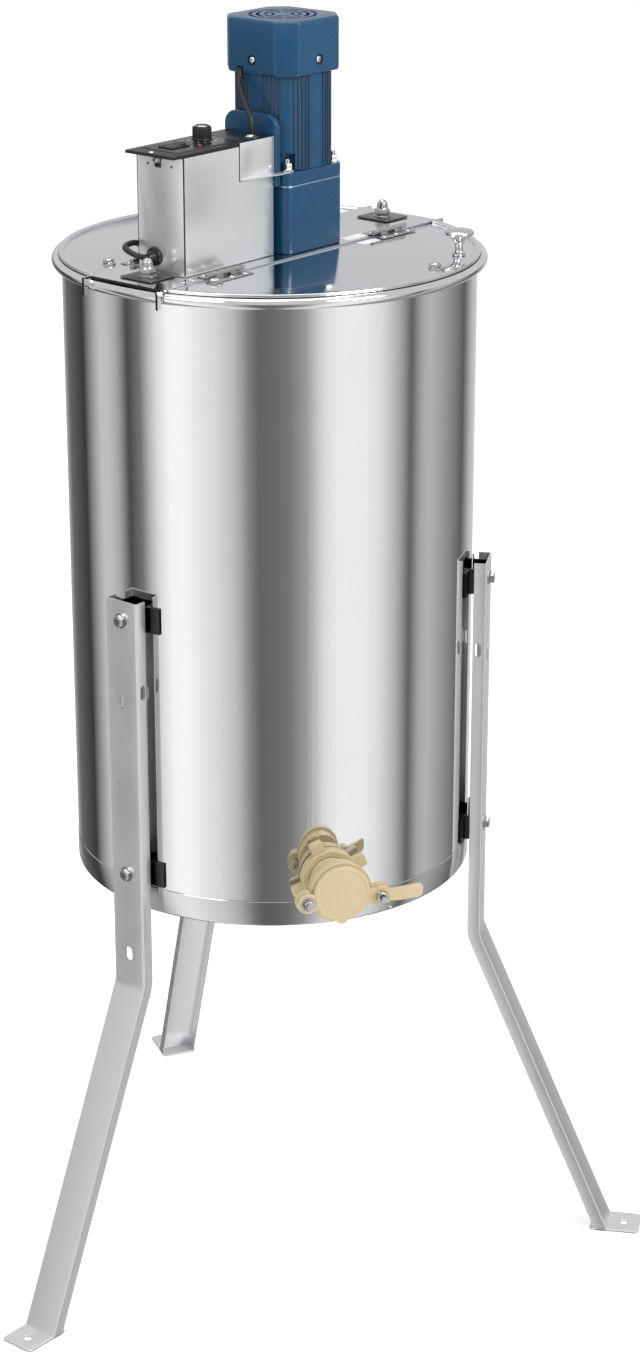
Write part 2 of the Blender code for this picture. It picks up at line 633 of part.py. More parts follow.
def lid_outline(radius, inset):
    """The front half lid seen from above: a chord beside the bridge and an arc on the rim."""
    chord = BRIDGE_HALF_WIDTH + 0.0005 + inset
    start = math.degrees(math.asin(chord / radius))
    return circle(radius, 30, (0.0, 0.0), 180.0 + start, 360.0 - start)


def make_lids():
    """Two half lids, each on two butt hinges with a knob near its rim."""
    low = -BRIDGE_SHEET
    plate = outline_mesh("lid", [lid_outline(LID_RADIUS, 0.0)], LID_SHEET, low)
    lid = place("lid", plate, None, POLISHED)
    outer, inner = lid_outline(LID_RADIUS, 0.0), lid_outline(LID_RADIUS - 0.0055, 0.0)
    hem = outline_mesh("hem", [outer + inner[::-1]], 0.0024, low + 0.0004)
    join(lid, hem)
    shape = baked(lid)

    knob_profile = [(0.0, 0.0245), (0.0090, 0.0240), (0.0140, 0.0215), (0.0138, 0.0195), (0.0065, 0.0140),
                    (0.0038, 0.0100), (0.0038, 0.0045), (0.0062, 0.0020), (0.0062, 0.0), (0.0, 0.0)]
    top = low + LID_SHEET + GAP
    moving, fixed = leaf_mesh(lid_side=True), leaf_mesh(lid_side=False)
    for name, half_turn, side in (("front", 0.0, -1), ("back", 180.0, 1)):
        hinge = frame_empty(f"{name}_lid_hinge", bridge_frame, (0.0, side * HINGE_Y, HINGE_Z), half_turn)
        offset = shift(0.0, HINGE_Y, -HINGE_Z)
        mesh = shape.copy()
        mesh.transform(offset)
        place(f"{name}_lid", mesh, hinge, POLISHED)
        turned(f"{name}_lid_knob", knob_profile, hinge, FASTENER, 20,
               (-side * KNOB_X, HINGE_Y - KNOB_Y, top - HINGE_Z))
        for end, x in zip(("near", "far"), HINGE_PLACES):
            spot = shift(x=x if side < 0 else -x)
            place_copy(f"{name}_{end}_hinge_leaf", moving, spot, hinge, SATIN)
            place_copy(f"{name}_{end}_hinge_base", fixed, hinge_spot(side, x), bridge_frame, SATIN)


def hinge_spot(side, x):
    """Where a hinge's pin lies in the bridge's frame."""
    turn = turn_about_z(0 if side < 0 else 180)
    return turn @ shift(x if side < 0 else -x, -HINGE_Y, HINGE_Z)


def leaf_mesh(lid_side):
    """One hinge leaf in the pin's frame with its own knuckles; the bridge's leaf also holds the pin."""
    knuckle = HINGE_LENGTH / 5
    if lid_side:
        shelf = -BRIDGE_SHEET + LID_SHEET + GAP - HINGE_Z
        low, high, own = (-0.0135, shelf), (-0.0010, shelf + 0.0009), (1, 3)
    else:
        shelf = GAP - HINGE_Z
        low, high, own = (0.0010, shelf), (0.0125, shelf + 0.0009), (0, 2, 4)
    piece = None
    for index in own:
        start = -HINGE_LENGTH / 2 + index * knuckle + GAP / 2
        end = start + knuckle - GAP
        barrel = cylinder_mesh("knuckle", BARREL_RADIUS, start, end, 10, axis="X")
        if piece is None:
            piece = place("leaf", barrel, None, SATIN)
        else:
            join(piece, barrel)
    inner = 0.0031
    plate_y = (low[0], -inner) if lid_side else (inner, high[0])
    join(piece, box_mesh("leaf", (-HINGE_LENGTH / 2 + GAP, plate_y[0], low[1]),
                         (HINGE_LENGTH / 2 - GAP, plate_y[1], high[1])))
    side = -1 if lid_side else 1
    for index in own:
        start = -HINGE_LENGTH / 2 + index * knuckle + GAP
        root = box_mesh("root", (start, min(side * 0.0015, side * 0.0040), low[1]),
                        (start + knuckle - 2 * GAP, max(side * 0.0015, side * 0.0040), -0.0008))
        join(piece, root)
    if lid_side:
        cut(piece, cylinder_mesh("bore", PIN_RADIUS + 0.0003, -0.03, 0.03, 8, axis="X"))
    else:
        join(piece, cylinder_mesh("pin", PIN_RADIUS, -HINGE_LENGTH / 2 - 0.0008, HINGE_LENGTH / 2 + 0.0008,
                                  8, axis="X"))
    return baked(piece)


# ---------------------------------------------------------------- gear case and motor
drive_frame = frame_empty("drive_frame", bridge_frame, (GEARBOX_X, 0.0, 0.0))


def make_gearbox():
    """A cast case with one gear stage, closed by a cover that carries the motor."""
    outline = rounded_rectangle(GEARBOX_HALF, GEARBOX_HALF, 0.008, 4)
    case = place("gearbox_case", outline_mesh("case", [outline], GEARBOX_HEIGHT - GAP, GAP), drive_frame, BLUE)
    cut(case, cylinder_mesh("cavity", 0.033, 0.0065, GEARBOX_HEIGHT + 0.01, 28))
    cut(case, cylinder_mesh("wheel_pocket", 0.0165, 0.0065, 0.035, 20, (-GEARBOX_X, 0.0)))
    cut(case, cylinder_mesh("shaft_hole", 0.0085, -0.01, 0.01, 16, (-GEARBOX_X, 0.0)))
    cover = place("gearbox_cover", outline_mesh("cover", [outline], COVER_TOP - GEARBOX_HEIGHT - GAP,
                                                GEARBOX_HEIGHT + GAP), drive_frame, BLUE)
    cut(cover, cylinder_mesh("motor_hole", 0.0100, 0.05, 0.09, 16))
    corners = [(sx * 0.0325, sy * 0.0325) for sx in (1, -1) for sy in (1, -1)]
    for at in corners:
        cut(cover, cylinder_mesh("hole", 0.0029, 0.05, 0.09, 8, at))
        cut(case, cylinder_mesh("hole", 0.0029, 0.040, 0.07, 8, at))

    gear("output_gear", bridge_frame, 30, 0.0145, 0.0018, 0.0155, 0.0275, 0.0060)
    gear("drive_pinion", drive_frame, 10, 0.0052, 0.0012, 0.0150, 0.0280, 0.0030)
    coupler_top = 0.9725 - BRIDGE_TOP_Z
    turned("output_shaft", [(0.0, 0.0300), (0.0060, 0.0300), (0.0060, 0.0020), (SHAFT_RADIUS, 0.0005),
                            (SHAFT_RADIUS, coupler_top), (0.0, coupler_top)], bridge_frame, FASTENER, 16)


def gear(name, frame, teeth, tip, depth, low, high, bore):
    """A spur gear; the two gears' tip circles just clear each other."""
    loop = []
    for tooth in range(teeth):
        for share, radius in ((0.00, tip - depth), (0.22, tip - depth), (0.40, tip), (0.72, tip)):
            angle = 2 * math.pi * (tooth + share) / teeth
            loop.append((radius * math.cos(angle), radius * math.sin(angle)))
    place(name, outline_mesh(name, [loop, circle(bore + GAP, 12)], high - low, low), frame, IRON)


def make_motor():
    """A body with its rotor, a fan and the fan's cover."""
    base = COVER_TOP + GAP
    outline = rounded_rectangle(GEARBOX_HALF, GEARBOX_HALF, 0.030, 6)
    body = place("motor_case", outline_mesh("body", [outline], MOTOR_TOP - base, base), drive_frame, BLUE)
    cut(body, cylinder_mesh("cavity", 0.0330, base + 0.006, MOTOR_TOP + 0.01, 28))
    cut(body, cylinder_mesh("shaft_hole", 0.0065, base - 0.01, base + 0.01, 12))
    for at in [(sx * 0.0325, sy * 0.0325) for sx in (1, -1) for sy in (1, -1)]:
        cut(body, cylinder_mesh("relief", 0.0095, base - 0.01, base + 0.015, 14, at))
    turned("motor_rotor",
           [(0.0, 0.188), (0.0030, 0.188), (0.0030, 0.1515), (0.0060, 0.150), (0.0190, 0.150),
            (0.0190, 0.094), (0.0060, 0.094), (0.0030, 0.0925), (0.0030, 0.0140), (0.0, 0.0140)],
           drive_frame, IRON, 20)
    fan = place("cooling_fan", outline_mesh("hub", [circle(0.0110, 18), circle(0.0030 + GAP, 12)], 0.012, 0.1715),
                drive_frame, BLACK)
    for k in range(6):
        blade = box_mesh("blade", (0.0095, -0.0009, 0.1722), (0.0365, 0.0009, 0.1828))
        blade.transform(turn_about_z(60 * k))
        join(fan, blade)

    half, chamfer = FAN_COVER_HALF, FAN_COVER_CHAMFER
    loop = chamfered_square(half, chamfer)
    cover = place("fan_cover", outline_mesh("cover", [loop], FAN_COVER_TOP - FAN_COVER_BASE, FAN_COVER_BASE),
                  drive_frame, BLUE)
    bevel = cover.modifiers.new("rounded_top", "BEVEL")
    bevel.width = 0.0030
    bevel.segments = 2
    bevel.limit_method = "ANGLE"
    bevel.angle_limit = math.radians(60)
    cut(cover, outline_mesh("room", [chamfered_square(half - 0.0018, chamfer - 0.0007)],
                            FAN_COVER_TOP - FAN_COVER_BASE, FAN_COVER_BASE - 0.003))
    notch = box_mesh("notch", (-half - 0.005, 0.0105, FAN_COVER_BASE - 0.005), (-half + 0.004, 0.0175, 0.1695))
    cut(cover, notch)
    for radius in (0.014, 0.026):
        ring = outline_mesh("slot", [circle(radius + 0.0016, 20), circle(radius - 0.0016, 20)], 0.02,
                            FAN_COVER_TOP - 0.010)
        spokes = place("slots", ring, None, BLUE)
        for turn in (45.0, 135.0):
            web = box_mesh("web", (-0.05, -0.0030, 0.10), (0.05, 0.0030, 0.30))
            web.transform(turn_about_z(turn))
            cut(spokes, web)
        cut(cover, baked(spokes))

    plate = outline_mesh("plate", [terminal_outline()], 0.0062)
    face_outwards(plate)
    place("terminal_plate", plate, bridge_frame, BLUE, (BOX_FAR + GAP, 0.0, 0.0))


def chamfered_square(half, chamfer):
    """A square's outline with its four corners cut off."""
    flat = half - chamfer
    return [(half, -flat), (half, flat), (flat, half), (-flat, half),
            (-half, flat), (-half, -flat), (-flat, -half), (flat, -half)]


def terminal_outline():
    """An upright plate, 63 mm wide, with its two top corners rounded."""
    half, low, high, radius = 0.0315, 0.0640, 0.1290, 0.012
    right = circle(radius, 5, (half - radius, high - radius), 0.0, 90.0)
    left = circle(radius, 5, (radius - half, high - radius), 90.0, 180.0)
    return [(-half, low), (half, low), *right, *left]


# ---------------------------------------------------------------- control box
KNOB_AT = (-0.086, 0.006)
SWITCH_AT = (-0.127, 0.003)
GLAND_AT = (-0.044, -0.017)
INLET_AT = (0.008, 0.015)   # across and above the bridge, on the box's near end


def make_control_box():
    """A folded steel case with its top plate, knob, rocker switch and speed controller."""
    top = BOX_HEIGHT - 0.0030
    box = place("control_box", box_mesh("box", (BOX_NEAR, -BOX_HALF_WIDTH, GAP),
                                        (BOX_FAR, BOX_HALF_WIDTH, top - GAP)), bridge_frame, POLISHED)
    wall = 0.0012
    cut(box, box_mesh("room", (BOX_NEAR + wall, -BOX_HALF_WIDTH + wall, GAP + wall),
                      (BOX_FAR - wall, BOX_HALF_WIDTH - wall, 0.2)))
    cut(box, cylinder_mesh("inlet", 0.0062, BOX_NEAR - 0.01, BOX_NEAR + 0.01, 14, INLET_AT, "X"))
    join(box, tongue_mesh())

    plate = place("box_top_plate", box_mesh("plate", (TOP_PLATE_NEAR, -BOX_HALF_WIDTH - 0.0010, top),
                                            (BOX_FAR, BOX_HALF_WIDTH + 0.0010, BOX_HEIGHT)), bridge_frame, BLACK)
    for at, radius in ((KNOB_AT, 0.0034), (GLAND_AT, 0.0050)):
        cut(plate, cylinder_mesh("hole", radius, 0.09, 0.13, 12, at))
    sx, sy = SWITCH_AT
    cut(plate, box_mesh("window", (sx - 0.0098, sy - 0.0068, 0.09), (sx + 0.0098, sy + 0.0068, 0.13)))

    rocker_frame = frame_empty("rocker_frame", bridge_frame, (sx, sy, BOX_HEIGHT - 0.0010))
    profile = [(-0.0090, 0.0022), (0.0, 0.0030), (0.0090, 0.0048), (0.0090, -0.0030), (0.0045, -0.0080),
               (-0.0045, -0.0080), (-0.0090, -0.0030)]
    rocker = stand_up(outline_mesh("rocker", [profile], 0.0124, -0.0062))
    place("power_switch", rocker, rocker_frame, BLACK)

    turned("speed_knob",
           [(0.0, 0.0135), (0.0078, 0.0135), (0.0086, 0.0125), (0.0092, 0.0015), (0.0092, 0.0),
            (0.0030, 0.0), (0.0030, -0.0140), (0.0, -0.0140)],
           bridge_frame, BLACK, 24, (*KNOB_AT, BOX_HEIGHT + 0.0004))

    board = place("speed_controller", box_mesh("board", (-0.138, -0.022, 0.060), (-0.050, 0.022, 0.0616)),
                  bridge_frame, BOARD)
    join(board, cylinder_mesh("pot", 0.0085, 0.061, 0.0930, 16, KNOB_AT))
    for low, high in (((-0.132, -0.015, 0.061), (-0.112, 0.012, 0.080)),
                      ((-0.072, -0.018, 0.061), (-0.056, 0.018, 0.078))):
        join(board, box_mesh("component", low, high))


def tongue_mesh():
    """The tongue that folds out of the box's side and takes one gear case bolt."""
    loop = [(-0.0735, -BOX_HALF_WIDTH + 0.0006), (-0.0735, -BOX_HALF_WIDTH - 0.0006),
            (-0.0270, -BOX_HALF_WIDTH - 0.0120), (-0.0268, -BOX_HALF_WIDTH + 0.0006)]
    return outline_mesh("tongue", [loop], 0.0012, 0.0705)


def make_cables():
    """The motor lead into the box, and the mains lead with its gland, hank and plug."""
    gx, gy = GLAND_AT
    route = smooth_route([(gx, gy, BOX_HEIGHT - 0.012), (gx, gy, BOX_HEIGHT + 0.012), (-0.0410, -0.0100, 0.133),
                          (-0.0355, 0.0010, 0.144), (-0.0295, 0.0100, 0.1535), (-0.0250, 0.0136, 0.1600),
                          (-0.0233, 0.0140, 0.1650), (-0.0230, 0.0140, 0.1685)], 0.0065)
    tube("motor_lead", route, LEAD_RADIUS, bridge_frame, CABLE)

    ix, iz = INLET_AT
    turned("mains_gland", [(CORD_RADIUS + 0.0006, 0.0042), (0.0048, 0.0042), (0.0078, 0.0030), (0.0088, 0.0012),
                           (0.0088, 0.0), (0.0056, 0.0), (0.0056, -0.0080), (CORD_RADIUS + 0.0006, -0.0080)],
           bridge_frame, BLACK, 16, (BOX_NEAR - GAP, ix, iz), (0.0, -math.pi / 2, 0.0))
    route = smooth_route([(-0.1430, 0.0080, 0.0150), (-0.1530, 0.0080, 0.0150), (-0.1585, 0.0095, 0.0153),
                          (-0.1625, 0.0135, 0.0160), (-0.1640, 0.0190, 0.0172), (-0.1640, 0.0265, 0.0188),
                          (-0.1618, 0.0338, 0.0198), (-0.1565, 0.0382, 0.0200), (-0.1490, 0.0392, 0.0192),
                          (-0.1410, 0.0382, 0.0165), (-0.1340, 0.0365, 0.0130), (-0.1282, 0.0358, 0.0108)], 0.0065)
    tube("mains_cord", route, CORD_RADIUS, bridge_frame, CABLE)

    low, high = HANK_BASE, HANK_BASE + 2 * HANK_END_RADIUS
    middle_z = (low + high) / 2
    left, right = HANK_LEFT + HANK_END_RADIUS, HANK_RIGHT - HANK_END_RADIUS
    ends = circle(HANK_END_RADIUS, 10, (right, middle_z), -90.0, 90.0)
    ends += circle(HANK_END_RADIUS, 10, (left, middle_z), 90.0, 270.0)
    place("cord_hank", stand_up(outline_mesh("hank", [ends], HANK_Y[1] - HANK_Y[0], HANK_Y[0])), bridge_frame, CABLE)

    tail = smooth_route([(-0.0345, 0.0358, 0.0600), (-0.0290, 0.0358, 0.0620), (-0.0240, 0.0358, 0.0680),
                         (-0.0235, 0.0358, 0.0750), (-0.0275, 0.0358, 0.0808), (-0.0345, 0.0358, 0.0830),
                         (-0.0440, 0.0358, 0.0830)], 0.0065)
    tail_mesh = tube("mains_tail", tail, CORD_RADIUS, None, CABLE, keep_curve=False)

    relief = cylinder_mesh("relief", 0.0055, -0.0620, -0.0425, 12, (0.0358, 0.0830), "X", top_radius=0.0038)
    plug = place("mains_plug", relief, bridge_frame, BLACK)
    join(plug, tail_mesh)
    join(plug, box_mesh("body", (-0.0950, 0.0292, 0.0672), (-0.0615, 0.0424, 0.0988), 0.0020))
    for z in (0.0735, 0.0925):
        join(plug, cylinder_mesh("pin", 0.0020, -0.1140, -0.0940, 8, (0.0358, z), "X"))


make_drum()
make_bottom_bearing()
make_legs()
make_gate()
make_basket()
make_bridge()
make_lids()
make_gearbox()
make_motor()
make_control_box()
make_cables()
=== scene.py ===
# %% [markdown]
# # A motor-driven honey extractor
# The machine is a polished drum on three bent legs. A bridge over the rim carries a
# gear-motor and a control box, two half lids close the drum, and a plastic gate lets
# the honey out. The solid model comes in first: it fixes every size and every place,
# so all the pieces below are measured from it.

import json
import math

import bmesh
import bpy
from mathutils import Matrix, Vector

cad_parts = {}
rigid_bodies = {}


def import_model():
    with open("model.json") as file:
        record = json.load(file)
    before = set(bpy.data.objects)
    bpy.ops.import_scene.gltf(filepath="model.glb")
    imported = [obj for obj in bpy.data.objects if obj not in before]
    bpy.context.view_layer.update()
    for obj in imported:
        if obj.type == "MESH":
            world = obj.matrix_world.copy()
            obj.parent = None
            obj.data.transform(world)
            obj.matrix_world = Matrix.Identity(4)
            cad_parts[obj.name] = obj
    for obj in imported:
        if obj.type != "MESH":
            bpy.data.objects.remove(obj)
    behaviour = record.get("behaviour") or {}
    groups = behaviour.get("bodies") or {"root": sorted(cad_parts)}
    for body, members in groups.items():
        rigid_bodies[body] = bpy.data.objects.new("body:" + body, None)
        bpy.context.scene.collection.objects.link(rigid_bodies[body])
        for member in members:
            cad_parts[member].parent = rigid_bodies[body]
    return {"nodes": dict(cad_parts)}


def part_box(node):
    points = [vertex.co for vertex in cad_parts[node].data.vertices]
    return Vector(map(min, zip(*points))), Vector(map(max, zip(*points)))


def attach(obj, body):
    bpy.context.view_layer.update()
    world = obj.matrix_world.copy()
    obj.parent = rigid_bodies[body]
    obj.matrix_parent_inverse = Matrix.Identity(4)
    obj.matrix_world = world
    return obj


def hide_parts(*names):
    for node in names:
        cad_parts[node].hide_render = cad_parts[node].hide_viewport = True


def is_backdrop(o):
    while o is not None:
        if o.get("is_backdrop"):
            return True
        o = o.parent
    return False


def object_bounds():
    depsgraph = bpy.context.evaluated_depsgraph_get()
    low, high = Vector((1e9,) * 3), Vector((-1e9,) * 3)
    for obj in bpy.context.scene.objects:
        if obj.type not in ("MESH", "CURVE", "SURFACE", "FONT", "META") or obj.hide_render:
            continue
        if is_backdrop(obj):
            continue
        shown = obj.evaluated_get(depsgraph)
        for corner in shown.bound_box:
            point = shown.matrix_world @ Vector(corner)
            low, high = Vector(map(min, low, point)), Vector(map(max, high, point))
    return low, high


for leftover in list(bpy.data.objects):
    bpy.data.objects.remove(leftover, do_unlink=True)
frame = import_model()
cad_size = [list(corner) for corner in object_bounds()]
print("solid model:", [round(b - a, 4) for a, b in zip(*cad_size)], "m")

# %% [markdown]
# ## Frames to work in
# The drum's axis, the bridge, the gear case and the gate each have a frame of their own,
# so that a piece can be drawn in the plain directions of the thing that it sits on.

# %% Frames of the drum, the bridge, the drive and the gate


def move(x=0.0, y=0.0, z=0.0):
    return Matrix.Translation((x, y, z))


def heading(degrees):
    """A turn about the vertical, anticlockwise from +X."""
    return Matrix.Rotation(math.radians(degrees), 4, "Z")


rim_low, rim_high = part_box("drum_wall")
AXIS_Y = (rim_low.y + rim_high.y) / 2
RIM_TOP = rim_high.z
BRIDGE_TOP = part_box("bridge")[1].z
DRUM_RADIUS = 0.195
BEAD_Z = RIM_TOP - 0.005
BRIDGE_HEADING, DRIVE_X = 30, 0.020
GATE_HEADING, GATE_Z = -94, 0.452
IN_DRUM = move(y=AXIS_Y)
IN_BRIDGE = move(0.0, AXIS_Y, BRIDGE_TOP) @ heading(BRIDGE_HEADING)
IN_DRIVE = IN_BRIDGE @ move(DRIVE_X)
IN_GATE = move(0.0, AXIS_Y, GATE_Z) @ heading(GATE_HEADING)
HALF_TURN = heading(180)
Z_TO_X = Matrix.Rotation(math.pi / 2, 4, "Y")       # a turned piece then points along +X
STAND_X = Matrix(((0, 0, 1, 0), (1, 0, 0, 0), (0, 1, 0, 0), (0, 0, 0, 1)))  # an outline then faces +X
STAND_Y = Matrix.Rotation(math.pi / 2, 4, "X")      # an outline then stands in XZ
print("drum axis y", round(AXIS_Y, 4), "bridge top", round(BRIDGE_TOP, 4))

# %% [markdown]
# ## Camera
# A long lens a few metres away and a little above the rim: long lenses keep the drum's
# sides nearly parallel, as in a catalogue picture.

# %% Camera
camera_data = bpy.data.cameras.new("camera")
camera_data.lens = 81.05
camera_data.sensor_width = 36.0
camera_data.clip_end = 100.0
camera = bpy.data.objects.new("camera", camera_data)
bpy.context.scene.collection.objects.link(camera)
HEADING, PITCH = math.radians(69.98), math.radians(-20.53)
camera.location = (-0.9263, -2.7408, 1.6374)
camera.rotation_euler = (math.pi / 2 + PITCH, 0.0, HEADING - math.pi / 2)
bpy.context.scene.camera = camera
print("camera", [round(x, 3) for x in camera.location])

# %% [markdown]
# ## Colours and material nodes
# Colours are written as hex values, as a paint chart gives them, and one function turns
# them into the linear numbers that the shader wants. One more function adds a node with
# its settings and links, so a finish reads as a short list.

# %% Helpers for materials


def hex_colour(code):
    """A linear RGBA colour from an sRGB hex code."""
    parts = [int(code[k:k + 2], 16) / 255 for k in (1, 3, 5)]
    return (*[c / 12.92 if c <= 0.04045 else ((c + 0.055) / 1.055) ** 2.4 for c in parts], 1.0)


def add(tree, kind, settings=None, links=None):
    """Add a node; settings name its properties or sockets, links give sockets a source or a value."""
    node = tree.nodes.new(kind)
    for key, value in (settings or {}).items():
        if isinstance(key, str) and hasattr(node, key):
            setattr(node, key, value)
        else:
            node.inputs[key].default_value = value
    for key, source in (links or {}).items():
        if isinstance(source, bpy.types.NodeSocket):
            tree.links.new(source, node.inputs[key])
        else:
            node.inputs[key].default_value = source
    return node


MM = 0.001


def finish(name, dark, light, rough, grain, height, metallic=0.0, stretch=(1, 1, 1), detail=3.0,
           sockets=None, smudge=60.0):
    """A procedural finish: two tones, a grain of that size in mm, and a slow cloudy change in gloss.

    dark, light: hex tones at the low and high of the grain; rough: (smooth, dull) limits;
    height: depth of the grain in mm; stretch: how much longer the grain is along each axis;
    smudge: the size in mm of the cloudy change; sockets: settings of the shader itself.
    """
    made = bpy.data.materials.new(name)
    made.use_nodes = True
    tree = made.node_tree
    shader = tree.nodes["Principled BSDF"]
    shader.inputs["Metallic"].default_value = metallic
    for key, value in (sockets or {}).items():
        shader.inputs[key].default_value = value
    place = add(tree, "ShaderNodeTexCoord")
    scaled = add(tree, "ShaderNodeMapping", {"Scale": [1 / (grain * MM * s) for s in stretch]},
                 {"Vector": place.outputs["Object"]})
    fine = add(tree, "ShaderNodeTexNoise", {"Scale": 1.0, "Detail": detail, "Roughness": 0.6},
               {"Vector": scaled.outputs[0]})
    cloudy = add(tree, "ShaderNodeTexNoise", {"Scale": 1 / (smudge * MM), "Detail": 2.0},
                 {"Vector": place.outputs["Object"]})
    both = add(tree, "ShaderNodeMath", {"operation": "MULTIPLY_ADD", 1: 0.6, 2: -0.05},
               {0: fine.outputs["Fac"]})
    mixed = add(tree, "ShaderNodeMath", {"operation": "MULTIPLY_ADD", 1: 0.5},
                {0: cloudy.outputs["Fac"], 2: both.outputs[0]})
    tone = add(tree, "ShaderNodeMix", {"data_type": "RGBA", 6: hex_colour(dark), 7: hex_colour(light)},
               {0: mixed.outputs[0]})
    dull = add(tree, "ShaderNodeMapRange",
               {"From Min": 0.3, "From Max": 0.7, "To Min": rough[0], "To Max": rough[1]},
               {"Value": mixed.outputs[0]})
    relief = add(tree, "ShaderNodeBump", {"Strength": 1.0, "Distance": height * MM},
                 {"Height": fine.outputs["Fac"]})
    tree.links.new(tone.outputs[2], shader.inputs["Base Color"])
    tree.links.new(dull.outputs[0], shader.inputs["Roughness"])
    tree.links.new(relief.outputs[0], shader.inputs["Normal"])
    return made


# %% [markdown]
# ## The finishes
# Stainless steel comes in three states here. Rolled and polished sheet is nearly a
# mirror and its grain is so fine that only a faint haze is left of it. Brushed strip has
# long scratches along its length. Turned and cold-headed parts are bright with a little
# tool chatter. The motor is cast alloy under blue enamel, whose skin has a slight orange
# peel. The gate is moulded nylon, slightly see-through at its edges. Scratches finer
# than a tenth of a millimetre are drawn coarser than they are, so that they still show.

# %% Metals
POLISHED = finish("bright_annealed_stainless", "#e4e5e6", "#eff0f1", (0.04, 0.08), 0.6, 0.0005, 1.0,
                  (1, 1, 12), 2.0)
LID_STEEL = finish("mirror_polished_stainless", "#dcdddf", "#e9eaeb", (0.07, 0.13), 0.7, 0.0006, 1.0,
                   (10, 1, 1), 2.0)
BOX_STEEL = finish("bright_folded_stainless", "#f0f0f1", "#f7f7f7", (0.20, 0.27), 0.4, 0.0002, 0.78,
                   (1, 1, 14), 2.0)
BRUSHED = finish("brushed_stainless_strip", "#e2e3e4", "#eeeeef", (0.26, 0.36), 0.3, 0.0004, 0.84, (1, 1, 40), 3.0)
BAND_STEEL = finish("rolled_stainless_band", "#cfd0d1", "#dfe0e0", (0.08, 0.14), 0.5, 0.002, 1.0, (1, 1, 6), 2.0)
BASKET_WIRE = finish("electropolished_wire", "#b4b5b6", "#d0d1d2", (0.16, 0.26), 1.2, 0.004, 1.0)
TURNED = finish("turned_stainless", "#c8c8c7", "#e2e2e0", (0.12, 0.20), 0.5, 0.002, 1.0, (6, 6, 1))
HARDWARE = finish("cold_headed_stainless", "#b0b0ae", "#dadad8", (0.14, 0.26), 0.9, 0.006, 1.0)
HINGE_STEEL = finish("pressed_stainless", "#a9aaab", "#cbcccc", (0.18, 0.30), 0.8, 0.004, 1.0, (8, 1, 1))
CHROME = finish("chromed_brass", "#d5d7d9", "#eef0f2", (0.05, 0.10), 0.8, 0.001, 1.0)
# Painted shade: the brackets' pressed steel is darkened to near black for the shade they sit in behind the legs.
BRACKET_PAINTED_SHADE = finish("pressed_steel_painted_shade", "#37383a", "#515356", (0.18, 0.28), 0.6, 0.002, 1.0, (1, 1, 8), 2.0)
GEAR_STEEL = finish("oiled_gear_steel", "#5d5c59", "#85837f", (0.24, 0.42), 0.8, 0.008, 1.0)

# %% Paint, plastics, cable and board
ENAMEL = finish("blue_enamel_on_cast_alloy", "#0f3f60", "#154b6e", (0.24, 0.34), 0.9, 0.004,
                sockets={"Coat Weight": 0.25, "Coat Roughness": 0.15, "Specular IOR Level": 0.4})
# Painted shade: the same blue enamel in a darker tone on the ribs, for the shade that falls between them.
RIB_ENAMEL_PAINTED_SHADE = finish("blue_enamel_ribs_painted_shade", "#0a2a40", "#0f3652", (0.30, 0.42), 0.9, 0.004,
                    sockets={"Coat Weight": 0.3, "Coat Roughness": 0.25})
SEAM = finish("machined_alloy_joint_face", "#b4cbdb", "#d6e6f0", (0.25, 0.35), 0.6, 0.003, 1.0)
NYLON = finish("moulded_cream_nylon", "#bcab84", "#c9b893", (0.38, 0.50), 0.9, 0.010,
               sockets={"Subsurface Weight": 0.25, "Subsurface Radius": (0.006, 0.0045, 0.0025), "IOR": 1.53})
POWDER = finish("black_powder_coat", "#0e0e0f", "#1b1b1c", (0.30, 0.42), 0.7, 0.02, detail=4.0,
                sockets={"Specular IOR Level": 0.5})
PANEL = finish("black_polycarbonate_film", "#111213", "#19191a", (0.22, 0.30), 0.9, 0.006)
ABS = finish("black_moulded_abs", "#101011", "#1c1c1d", (0.32, 0.44), 0.8, 0.012)
CABLE = finish("black_pvc_sheath", "#131314", "#202021", (0.34, 0.48), 1.4, 0.02, stretch=(3, 3, 1))
WHITE_NYLON = finish("turned_white_nylon", "#d9d8d0", "#e9e8e2", (0.42, 0.55), 0.9, 0.01)
BOARD = finish("green_fibreglass_board", "#0c4a22", "#14602e", (0.3, 0.42), 1.2, 0.01)
INK = finish("white_screen_ink", "#d8d8d6", "#efefed", (0.45, 0.6), 0.5, 0.004)
LABEL = finish("white_vinyl_label", "#e9e9e8", "#f6f6f5", (0.30, 0.42), 1.5, 0.004)
LENS = finish("red_lamp_lens", "#5c0d0a", "#8a1712", (0.10, 0.18), 1.0, 0.003, sockets={"Coat Weight": 0.5})
# Painted shade and painted reflection: a near-black finish for thin strips and discs put where the machine shows
# only shade, and on the bridge's hooks where it shows only a dark reflection.
PAINTED_SHADE_AND_REFLECTION = finish("painted_shade_and_reflection_black", "#08090a", "#101112", (0.6, 0.75), 0.8, 0.01)
print(len(bpy.data.materials), "finishes")

# %% [markdown]
# ## Helpers for shapes
# Three ways of making cover nearly every piece: a flat outline with a thickness and
# rounded edges, a profile turned about an axis, and a box with rounded edges. Each
# finished piece takes its place into its mesh and rides on the body that carries it.

# %% Outlines


def circle(radius, count, at=(0.0, 0.0), start=0.0, end=360.0):
    """Points round a circle, or along an arc with both of its ends."""
    steps = count if abs(end - start) >= 360.0 else count - 1
    angles = [math.radians(start + (end - start) * k / steps) for k in range(count)]
    return [(at[0] + radius * math.cos(a), at[1] + radius * math.sin(a)) for a in angles]


def rounded(half_x, half_y, radius, at=(0.0, 0.0), steps=7):
    """A rectangle's outline with arcs at its corners."""
    points = []
    for corner, (sx, sy) in enumerate(((1, 1), (-1, 1), (-1, -1), (1, -1))):
        middle = (at[0] + sx * (half_x - radius), at[1] + sy * (half_y - radius))
        points += circle(radius, steps, middle, 90.0 * corner, 90.0 * corner + 90.0)
    return points


